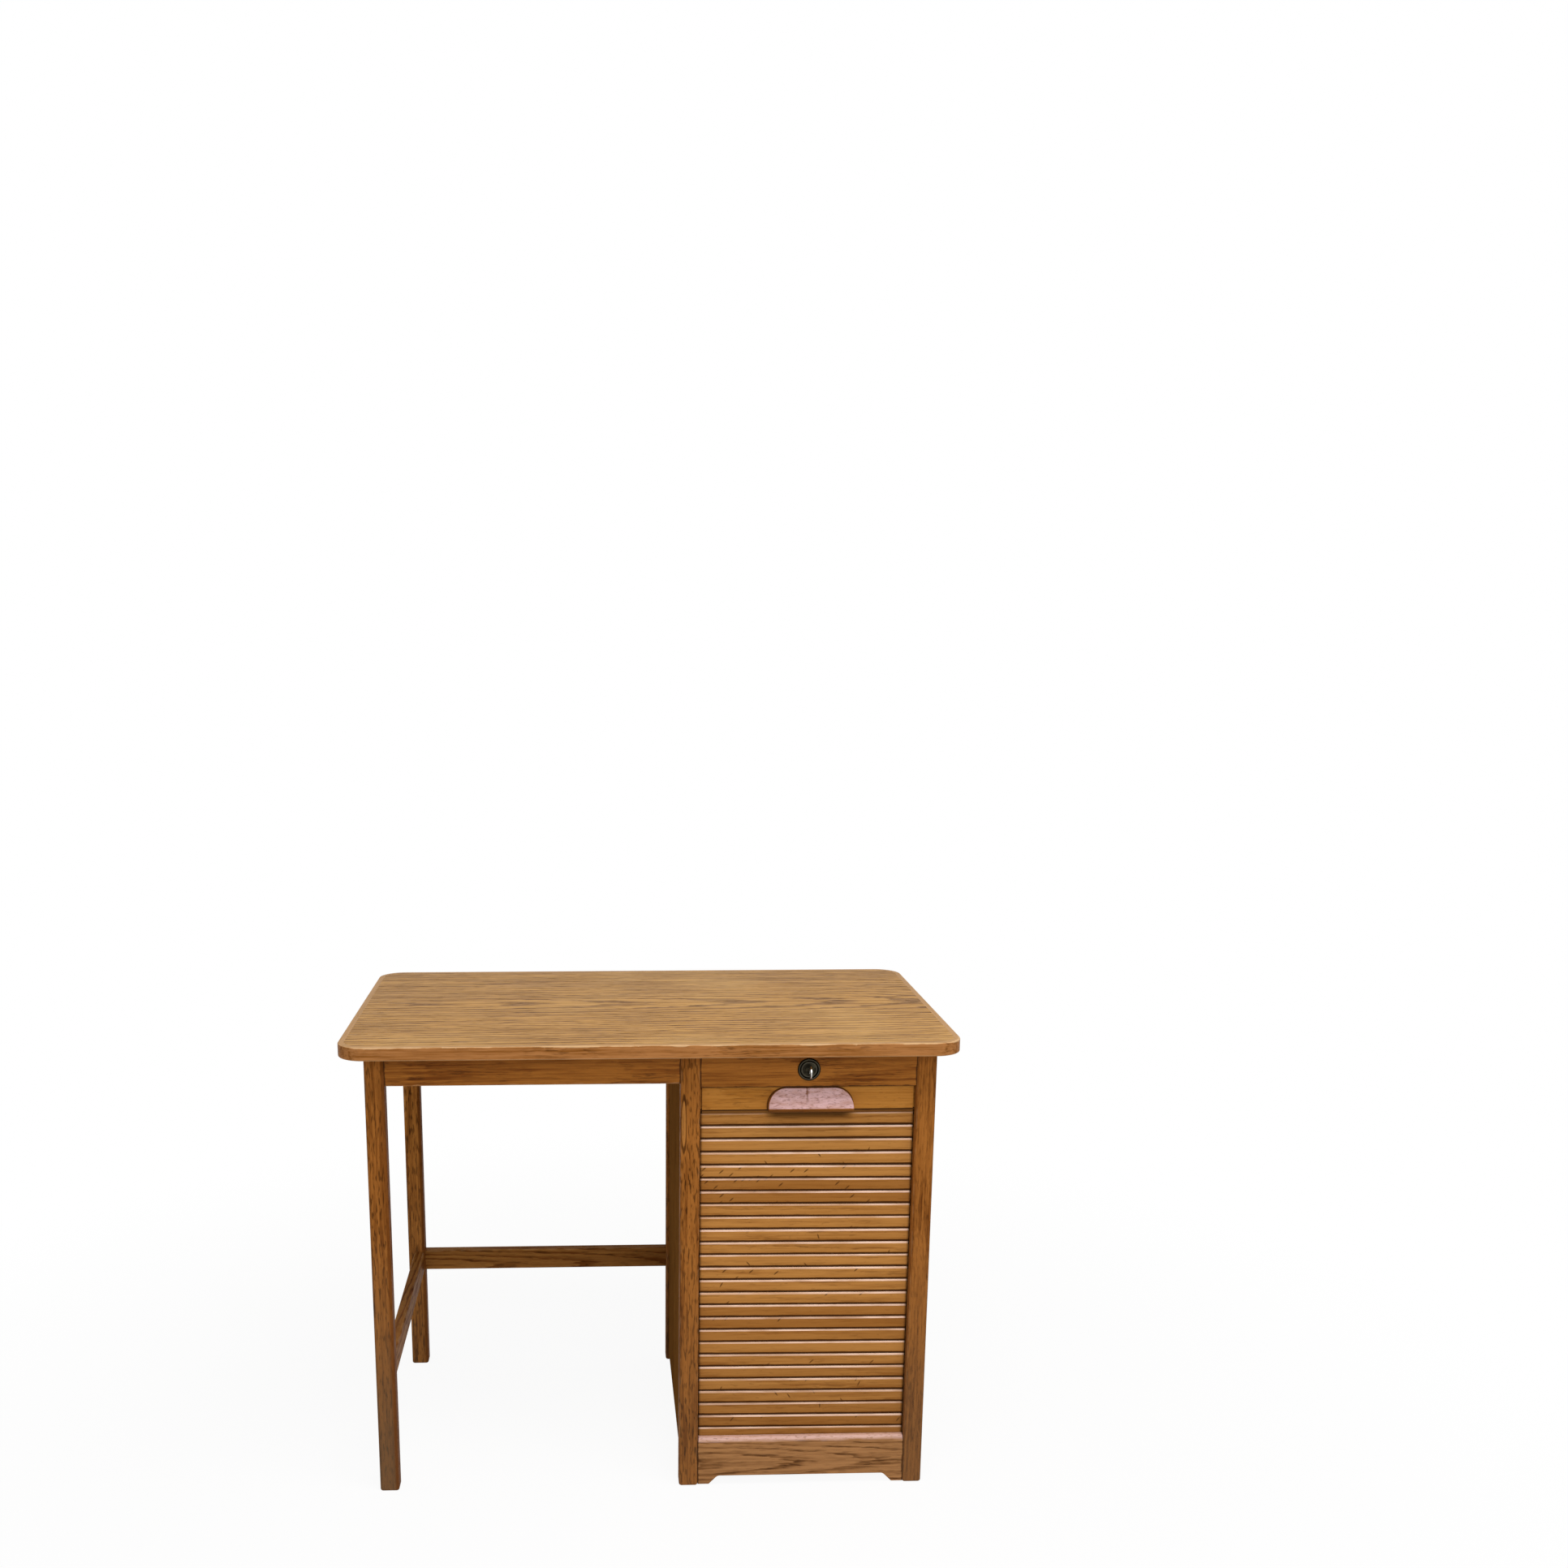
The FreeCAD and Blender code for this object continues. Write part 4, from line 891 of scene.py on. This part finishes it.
class DESK_OT_curtain(bpy.types.Operator):
    """Slats hung one below the other on their canvas, the last ones already in the bend"""
    bl_idname = "desk.curtain"
    bl_label = "Curtain"

    # What is still drawn of the curtain when the shutter is open
    OPEN_HEIGHT = 0.050
    DICE_SEED = 7
    BEVEL_SPREAD = (0.88, 1.12)
    SLAT_ASKEW = (-0.0007, 0.0007)
    # Slats over which the curtain goes from level to its full slip
    SLIP_SLATS = 5
    BEND_STEPS = 8

    def execute(self, context):
        sizes = context.scene.desk_shapes
        low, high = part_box("shutter_slats")
        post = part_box("left_front_post")[0].y
        self.centre = post + sizes.slat_recess + sizes.slat_thickness / 2
        self.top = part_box("lead_slat")[0].z
        self.bend_height = sizes.run_height + sizes.bend_radius
        self.straight = self.top - self.bend_height
        self.canvas_radius = sizes.bend_radius - sizes.slat_thickness / 2
        slats = self.hang_slats(sizes, low, high)
        canvas = self.hang_canvas(sizes)
        anchor = (0.0, 0.0, low.z)
        shut = high.z - low.z
        for piece in (slats, canvas):
            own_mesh(piece)
        return {"FINISHED"}

    def hang_slats(self, sizes, low, high):
        curtain = bmesh.new()
        layers = [curtain.verts.layers.float.new(mark) for mark in SLAT_MARKS]
        dice = random.Random(self.DICE_SEED)
        blank = bpy.data.meshes.new("slat_blank")
        middle = Matrix.Translation(((low.x + high.x) / 2, 0.0, 0.0))
        for index in range(sizes.slat_count):
            hung = (index + 0.5) * sizes.slat_pitch
            turn = max(hung - self.straight, 0.0) / self.canvas_radius
            y = self.centre + sizes.bend_radius * (1 - math.cos(turn))
            z = self.top - min(hung, self.straight) - sizes.bend_radius * math.sin(turn)
            bevel_width = sizes.slat_bevel * dice.uniform(*self.BEVEL_SPREAD)
            slat = self.make_slat(sizes, low.x, high.x, bevel_width)
            heights = [vert.co.z for vert in slat.verts]
            slipped = sizes.curtain_slip * min((index + 1) / self.SLIP_SLATS, 1.0)
            askew = Matrix.Rotation(slipped + dice.uniform(*self.SLAT_ASKEW), 4, "Y")
            place = Matrix.Translation((0.0, y, z)) @ Matrix.Rotation(turn, 4, "X") @ askew
            bmesh.ops.transform(slat, matrix=place @ middle, verts=slat.verts)
            slat.to_mesh(blank)
            slat.free()
            before = len(curtain.verts)
            curtain.from_mesh(blank)
            curtain.verts.ensure_lookup_table()
            tone = dice.random()
            bevel_foot = max(heights) - bevel_width
            for vert, height in zip(curtain.verts[before:], heights):
                marks = (index, tone, height - bevel_foot, height - min(heights), *ray_marks(index))
                for layer, mark in zip(layers, marks):
                    vert[layer] = mark
        bpy.data.meshes.remove(blank)
        return finish_mesh("slat_curtain", curtain, slat_material(), "carcass", "oak_slat", "shutter_slats")

    def make_slat(self, sizes, left, right, bevel_width):
        """One slat about the origin, its tongues running out at both ends."""
        slat = bmesh.new()
        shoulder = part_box("left_front_post")[1].x + sizes.shoulder_gap
        half = Vector(((left + right) / 2 - shoulder, sizes.slat_thickness / 2,
                       (sizes.slat_pitch - sizes.slat_gap) / 2))
        add_block(slat, -half, half)
        front = edges_where(slat, lambda co: co.y < TOUCH - half.y)
        bevel(slat, [edge for edge in front if abs(edge.verts[0].co.z - edge.verts[1].co.z) > half.z],
              sizes.slat_end_round, segments=3)
        nose = sizes.slat_end_round + 10 * TOUCH - half.y
        upper = edges_where(slat, lambda co: co.z > half.z - TOUCH and co.y < nose)
        bevel(slat, upper, bevel_width, segments=1)
        lower = edges_where(slat, lambda co: co.z < TOUCH - half.z and co.y < nose)
        bevel(slat, lower, sizes.slat_round, segments=3)
        tongue = Vector(((right - left) / 2, sizes.tongue_thickness / 2, sizes.tongue_height / 2))
        add_block(slat, -tongue, tongue)
        return slat

    def hang_canvas(self, sizes):
        low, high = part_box("shutter_canvas")
        turn = (sizes.slat_count * sizes.slat_pitch - self.straight) / self.canvas_radius
        sheet = bmesh.new()
        edge = sheet.edges.new([sheet.verts.new((x, low.y, high.z)) for x in (low.x, high.x)])
        drop = bmesh.ops.extrude_edge_only(sheet, edges=[edge])["geom"]
        moved = only(bmesh.types.BMVert, drop)
        bmesh.ops.translate(sheet, vec=(0, 0, self.bend_height - high.z), verts=moved)
        foot = only(bmesh.types.BMEdge, drop) + moved
        bmesh.ops.spin(sheet, geom=foot, cent=(0, self.centre + sizes.bend_radius, self.bend_height),
                       axis=(1, 0, 0), angle=turn, steps=self.BEND_STEPS, dvec=(0, 0, 0))
        thicken(sheet, sizes.canvas_thickness)
        self.canvas_size = (high.x - low.x, high.z - self.bend_height + turn * self.canvas_radius)
        return finish_mesh("curtain_canvas", sheet, canvas_material(), "carcass", "canvas", "shutter_canvas")


def slope_plane():
    """A point on the pull's sloping face and the way it looks."""
    sizes = bpy.context.scene.desk_shapes
    low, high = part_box("shutter_pull")
    nose = Vector((0.0, low.y, low.z + sizes.pull_nose))
    along = Vector((0.0, high.y - sizes.pull_top, high.z)) - nose
    return nose, Vector((0.0, -along.z, along.y)).normalized()


def bead_and_outline(oak, node, coordinates, base):
    """Painted shade in the lead slat's bead groove, on the strip under the bead and round the pull."""
    sizes = bpy.context.scene.desk_shapes
    low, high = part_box("shutter_pull")
    x, _, z = split(coordinates)
    above = z - (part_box(node)[0].z + sizes.bead_height)
    # Painted shade on the strip under the bead
    base = mix(fade(above, *BEAD_STRIP), base, oak.pore)
    aside = abs(x - (low.x + high.x) / 2) - ((high.x - low.x) / 2 - sizes.pull_corner)
    over = z - (high.z - sizes.pull_corner)
    from_pull = reckon("LENGTH", join(most(aside, 0.0), most(over, 0.0), 0.0)) - sizes.pull_corner
    # Painted shadow in the gap round the pull
    outline = fade(from_pull, *PULL_OUTLINE) * fade(above, *ABOVE_BEAD)
    return mix(most(fade(abs(above), *BEAD_GROOVE), outline), base, oak.pore)


def pale_slope(oak, node, coordinates, base):
    """Painted reflection on the pull's sloping face, broken by specks and a drip, and its lower edge darker.
    """
    nose = bpy.context.scene.desk_shapes.pull_nose
    low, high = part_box(node)
    point, outwards = slope_plane()
    off = reckon("DOT_PRODUCT", coordinates - point, outwards)
    ragged = noise(coordinates, (60, 160, 160), 3.0)
    # Painted reflection on the sloping face
    base = mix(fade(abs(off), *SLOPE_FACE) * span(ragged, 0.3, 0.65, 0.6, 1.0), base, oak.bloom)
    specks = fade(noise(coordinates, (150, 420, 420)), 0.53, 0.66, 0.42)
    x, _, z = split(coordinates)
    aside = abs(x - ((low.x + high.x) / 2 - DRIP_ASIDE))
    drip = fade(aside + sway(ragged, DRIP_STRAY), *SLOPE_DRIP)
    drip = drip * span(z, low.z + DRIP_ENDS, high.z - DRIP_ENDS)
    # Darker along the pull's lower edge
    base = mix(fade((z - low.z) / nose, *HANDLED_EDGE), base, oak.pore)
    return mix(most(specks, drip), base, oak.rail_dark)


class DESK_OT_pull(bpy.types.Operator):
    """Lead slat with its wedge-shaped pull, hollowed underneath for the fingers"""
    bl_idname = "desk.pull"
    bl_label = "Lead slat and pull"

    CORNER_STEPS = 14

    def execute(self, context):
        sizes = context.scene.desk_shapes
        low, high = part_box("shutter_pull")
        dress_oak("lead_slat", LENGTHWAYS, QUIET, "lead", extra=bead_and_outline)
        pull = bmesh.new()
        add_block(pull, low, high)
        upper = edges_where(pull, lambda co: co.z > high.z - TOUCH)
        bevel(pull, [edge for edge in upper if abs(edge.verts[0].co.y - edge.verts[1].co.y) > TOUCH],
              sizes.pull_corner, segments=self.CORNER_STEPS)
        self.cut_slope(pull)
        self.hollow(pull, sizes, low, high)
        bevel(pull, sharp_edges(pull), sizes.pull_round, segments=3)
        material = oak_board("shutter_pull", LENGTHWAYS, QUIET, "rail", name="oak_pull", extra=pale_slope)
        finish_mesh("wedge_pull", pull, material, "shutter", "oak_solid", "shutter_pull")
        return {"FINISHED"}

    def cut_slope(self, pull):
        point, outwards = slope_plane()
        everything = pull.verts[:] + pull.edges[:] + pull.faces[:]
        cut = bmesh.ops.bisect_plane(pull, geom=everything, plane_co=point, plane_no=outwards,
                                     clear_outer=True)
        bmesh.ops.contextual_create(pull, geom=only(bmesh.types.BMEdge, cut["geom_cut"]))

    def hollow(self, pull, sizes, low, high):
        under = min(pull.faces, key=lambda face: face.calc_center_median().z)
        bmesh.ops.inset_region(pull, faces=[under], thickness=sizes.hollow_wall)
        for vert in under.verts:
            at_left = vert.co.x < (low.x + high.x) / 2
            vert.co.x = low.x + sizes.hollow_end if at_left else high.x - sizes.hollow_end
        roof = bmesh.ops.extrude_discrete_faces(pull, faces=[under])["faces"]
        bmesh.ops.translate(pull, vec=(0, 0, sizes.hollow_depth), verts=roof[0].verts)


BRONZE_GLOSS = 0.4
STEEL_GLOSS = 0.28


def metal_material(name, base, rubbed, gloss):
    """Worn metal, made once for all the pieces that have it."""
    if name not in bpy.data.materials:
        _, coordinates = new_material(name)
        rub = rubbed_metal(coordinates, base=base, rubbed=rubbed, gloss=gloss)
        finish_material(rub["Color"], rub["Roughness"], rub["Height"], METAL_RELIEF, BARE_METAL)
    return bpy.data.materials[name]


def nickelled_steel():
    metal = bpy.context.scene.desk_metal
    return metal_material("nickelled_steel", metal.steel, metal.steel_dull, STEEL_GLOSS)


class DESK_OT_lock(bpy.types.Operator):
    """Ringed rose, lock barrel, plug, nut and cam"""
    bl_idname = "desk.lock"
    bl_label = "Lock"

    # Rose section from the rim inwards, as shares of its radius and of its thickness
    ROSE_SHARES = ((1.0, 0.0), (1.0, 0.45), (0.975, 0.75), (0.93, 0.95), (0.88, 1.0), (0.83, 0.9),
                   (0.80, 0.62), (0.775, 0.5), (0.745, 0.55), (0.71, 0.78), (0.66, 0.84), (0.58, 0.8),
                   (0.535, 0.95))
    # Bright and black rings: where they are and how wide, as shares of the radius
    # The bright rings are wear and a painted highlight
    BRIGHT_RINGS = ((0.86, 0.045), (0.64, 0.05))
    BLACK_RINGS = ((0.775, 0.05), (1.0, 0.09))
    # Share of a ring's width that has its whole tone, and how strong that is
    RING_CORE, RING_STRENGTH = 0.3, 0.85
    ROSE_SIDES = 72
    BARREL_CLEARANCE = 0.0001

    def execute(self, context):
        metal = context.scene.desk_metal
        bronze = metal_material("bronzed_metal", metal.bronze, metal.bronze_rubbed, BRONZE_GLOSS)
        low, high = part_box("lock_rose")
        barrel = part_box("lock_case")[1].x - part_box("lock_case")[0].x
        middle = (low + high) / 2
        radius, thickness = (high.x - low.x) / 2, high.y - low.y
        outline = [(radius * out, thickness * up) for out, up in self.ROSE_SHARES]
        hole = barrel / 2 + self.BARREL_CLEARANCE
        outline += [(hole, outline[-1][1]), (hole, 0.0)]
        rose = bmesh.new()
        points = [rose.verts.new((middle.x + out, high.y - up, middle.z)) for out, up in outline]
        ring = [rose.edges.new(pair) for pair in zip(points, points[1:] + points[:1])]
        bmesh.ops.spin(rose, geom=points + ring, cent=middle, axis=(0, 1, 0), angle=math.tau,
                       steps=self.ROSE_SIDES, use_merge=True, dvec=(0, 0, 0))
        bmesh.ops.remove_doubles(rose, verts=rose.verts, dist=TOUCH)
        finish = self.rose_material(metal, middle, radius)
        finish_mesh("ringed_rose", rose, finish, "carcass", "dark_bronze", "lock_rose")
        dress(bronze, "lock_case", "lock_plug")
        dress(nickelled_steel(), "lock_nut", "lock_cam", "keeper_plate")
        return {"FINISHED"}

    def rose_material(self, metal, middle, radius):
        """Bronze with wear and a painted highlight on the raised rings, and black in the groove between
        them.
        """
        material, coordinates = new_material("bronzed_rose")
        rub = rubbed_metal(coordinates, base=metal.bronze, rubbed=metal.bronze_rubbed, gloss=BRONZE_GLOSS)
        out = reckon("LENGTH", (coordinates - middle) * (1 / radius, 0, 1 / radius))
        base = rub["Color"]
        for rings, tone in ((self.BRIGHT_RINGS, "bronze_bright"), (self.BLACK_RINGS, "bronze_black")):
            for place, width in rings:
                ring = fade(abs(out - place), width, width * self.RING_CORE, self.RING_STRENGTH)
                base = mix(ring, base, getattr(metal, tone))
        finish_material(base, rub["Roughness"], rub["Height"], METAL_RELIEF, BARE_METAL)
        return material


class DESK_OT_key(bpy.types.Operator):
    """Flat key standing upright in the plug, with a ring hole in its bow and notches in its blade"""
    bl_idname = "desk.key"
    bl_label = "Key"

    # Blade stations behind the bow: share of the blade's length, and share of its height cut away below
    NOTCH_SHARES = ((0.0, 0.0), (0.18, 0.0), (0.3, 0.3), (0.42, 0.3), (0.5, 0.12), (0.6, 0.42), (0.7, 0.42),
                    (0.8, 0.16), (0.9, 0.16), (1.0, 0.45))
    BOW_SIDES = 48
    # The blade grows from the rim's edges within this share of its half height
    RIM_SHARE = 1.02
    # Lays the key's length along y and its height along z
    STAND_UP = Matrix(((0, 0, 1, 0), (1, 0, 0, 0), (0, 1, 0, 0), (0, 0, 0, 1)))

    def execute(self, context):
        sizes = context.scene.desk_shapes
        low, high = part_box("key")
        bow = (high.z - low.z) / 2
        centre = Vector(((low.x + high.x) / 2, low.y + bow, (low.z + high.z) / 2))
        key = bmesh.new()
        for radius in (bow, sizes.bow_hole):
            bmesh.ops.create_circle(key, segments=self.BOW_SIDES, radius=radius)
        bmesh.ops.bridge_loops(key, edges=key.edges[:])
        self.grow_blade(key, sizes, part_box("lock_plug")[0].y - centre.y, high.y - centre.y)
        thicken(key, high.x - low.x)
        bmesh.ops.transform(key, matrix=self.STAND_UP, verts=key.verts)
        lowest, highest = (pick(vert.co.x for vert in key.verts) for pick in (min, max))
        shift = centre - Vector(((lowest + highest) / 2, 0.0, 0.0))
        bmesh.ops.translate(key, vec=shift, verts=key.verts)
        bevel(key, sharp_edges(key), sizes.key_edge, segments=2)
        finish_mesh("flat_key", key, nickelled_steel(), "key", "steel", "key")
        return {"FINISHED"}

    def grow_blade(self, key, sizes, start, tip):
        """Draw the blade out of the bow's rim, station by station."""
        half = sizes.blade_height / 2
        ahead = edges_where(key, lambda co: co.x > 0 and co.length > sizes.bow_hole + TOUCH
                            and abs(co.y) < half * self.RIM_SHARE)
        rim = [edge for edge in ahead if edge.is_boundary]
        widest = max(abs(end.co.y) for edge in rim for end in edge.verts)
        heights = None
        for far, notch in self.NOTCH_SHARES:
            grown = bmesh.ops.extrude_edge_only(key, edges=rim)["geom"]
            rim = only(bmesh.types.BMEdge, grown)
            ends = sorted(only(bmesh.types.BMVert, grown), key=lambda end: end.co.y)
            heights = heights or [end.co.y for end in ends]
            cut = notch * sizes.blade_height
            for end, height in zip(ends, heights):
                upward = (height / widest + 1) / 2
                end.co.x = start + (tip - start) * far
                end.co.y = -half + cut + upward * (2 * half - cut)


class DESK_OT_screws(bpy.types.Operator):
    """Screws in the pull, keeper, cleats, fixing blocks and cam"""
    bl_idname = "desk.screws"
    bl_label = "Screws"

    def execute(self, context):
        dress(nickelled_steel(), "pull_screws", "keeper_screws", "cleat_screws", "top_fixing_screws",
              "cam_screw")
        return {"FINISHED"}


class DESK_OT_stage(bpy.types.Operator):
    """White floor and surroundings, two softboxes and the camera"""
    bl_idname = "desk.stage"
    bl_label = "Stage"

    WHITE = (1.0, 1.0, 1.0)
    FLOOR_GREY = (0.9, 0.9, 0.9)
    # Softboxes: place, the point that they face, width and height
    OVERHEAD = ((0.42, -1.05, 3.0), (0.12, -0.35, 0.5), (1.7, 0.9))
    FRONT = ((0.85, -4.2, 3.0), (0.25, -0.26, 0.6), (1.6, 1.2))
    SENSOR = 36.0
    # Share of the shadow's reach within which the floor is not whitened further
    SHADOW_CORE = 0.4

    def execute(self, context):
        stage = context.scene.desk_stage
        self.lay_floor(stage)
        self.light_world(context.scene, stage)
        self.hang_light("overhead_softbox", stage.canopy, stage.tint, *self.OVERHEAD)
        self.hang_light("front_softbox", stage.window, stage.tint, *self.FRONT)
        self.set_camera(context.scene, stage)
        context.scene.view_settings.view_transform = "Standard"
        return {"FINISHED"}

    def seen_directly(self, tree):
        """1 for rays that show the surroundings themselves: to the camera, in a mirror or through glass."""
        camera = add(tree, "ShaderNodeLightPath", output="Is Camera Ray")
        return most(camera, most(camera.also("Is Glossy Ray"), camera.also("Is Transmission Ray")))

    def lay_floor(self, stage):
        shape = bmesh.new()
        bmesh.ops.create_grid(shape, x_segments=1, y_segments=1, size=stage.floor_span / 2)
        material, coordinates = new_material("white_floor")
        link_mesh("floor", shape, material)
        tree = coordinates.tree
        matt = add(tree, "ShaderNodeBsdfDiffuse", {"Color": self.FLOOR_GREY})
        glow = add(tree, "ShaderNodeEmission", {"Color": self.WHITE, "Strength": 1.0})
        away = reckon("LENGTH", coordinates * (1.0, 1.0, 0.0))
        core = stage.shadow_reach * self.SHADOW_CORE
        glow_share = span(away, core, stage.shadow_reach, stage.floor_glow, 1.0)
        factor = self.seen_directly(tree) * glow_share
        mixed = add(tree, "ShaderNodeMixShader", {0: factor, 1: matt, 2: glow})
        add(tree, "ShaderNodeOutputMaterial", {"Surface": mixed})

    def light_world(self, scene, stage):
        world = bpy.data.worlds.new("studio")
        world.use_nodes = True
        tree = world.node_tree
        tree.nodes.clear()
        light = add(tree, "ShaderNodeBackground", {"Color": self.WHITE, "Strength": stage.sky})
        white = add(tree, "ShaderNodeBackground", {"Color": self.WHITE, "Strength": 1.0})
        mixed = add(tree, "ShaderNodeMixShader", {0: self.seen_directly(tree), 1: light, 2: white})
        add(tree, "ShaderNodeOutputWorld", {"Surface": mixed})
        scene.world = world

    def hang_light(self, name, power, tint, place, aim, size):
        lamp = bpy.data.lights.new(name, "AREA")
        lamp.shape = "RECTANGLE"
        lamp.size, lamp.size_y = size
        lamp.energy = power
        lamp.color = tint
        hung = bpy.data.objects.new(name, lamp)
        hung.location = place
        hung.rotation_euler = (Vector(aim) - Vector(place)).to_track_quat("-Z", "Y").to_euler()
        hung.visible_camera = False
        bpy.context.scene.collection.objects.link(hung)

    def set_camera(self, scene, stage):
        camera = bpy.data.cameras.new("camera")
        camera.sensor_width = self.SENSOR
        camera.lens = stage.focal / stage.photo_size * camera.sensor_width
        camera.shift_x = (stage.photo_size / 2 - stage.centre_x) / stage.photo_size
        camera.shift_y = (stage.centre_y - stage.photo_size / 2) / stage.photo_size
        viewer = bpy.data.objects.new("camera", camera)
        viewer.location = stage.camera_place
        viewer.rotation_euler = (math.pi / 2 - stage.pitch, 0.0, -stage.yaw)
        scene.collection.objects.link(viewer)
        scene.camera = viewer


OPERATORS = (DESK_OT_worktop, DESK_OT_leg_frame, DESK_OT_pedestal, DESK_OT_interior, DESK_OT_curtain,
             DESK_OT_pull, DESK_OT_lock, DESK_OT_key, DESK_OT_screws, DESK_OT_stage)
SETTINGS = {"desk_oak": DeskOakSettings, "desk_metal": DeskMetalSettings, "desk_shapes": DeskShapeSettings,
            "desk_stage": DeskStageSettings}


class DESK_PT_sidebar(bpy.types.Panel):
    """Lists what can be built for the desk"""
    bl_idname = "DESK_PT_sidebar"
    bl_label = "Tambour pedestal desk"
    bl_space_type = "VIEW_3D"
    bl_region_type = "UI"
    bl_category = "Desk"

    def draw(self, context):
        for operator in OPERATORS:
            self.layout.operator(operator.bl_idname)
        for name, settings in SETTINGS.items():
            box = self.layout.box()
            box.label(text=settings.__doc__)
            for setting in settings.__annotations__:
                box.prop(getattr(context.scene, name), setting)


def register():
    for group in (*SETTINGS.values(), *OPERATORS, DESK_PT_sidebar):
        bpy.utils.register_class(group)
    for name, settings in SETTINGS.items():
        setattr(bpy.types.Scene, name, PointerProperty(type=settings))


def unregister():
    for name in SETTINGS:
        delattr(bpy.types.Scene, name)
    for group in reversed((*SETTINGS.values(), *OPERATORS, DESK_PT_sidebar)):
        bpy.utils.unregister_class(group)


def main():
    register()
    bpy.ops.desk.worktop()
    bpy.ops.desk.leg_frame()
    bpy.ops.desk.pedestal()
    bpy.ops.desk.interior()
    bpy.ops.desk.curtain()
    bpy.ops.desk.pull()
    bpy.ops.desk.lock()
    bpy.ops.desk.key()
    bpy.ops.desk.screws()
    bpy.ops.desk.stage()


if __name__ == "__main__":
    main()
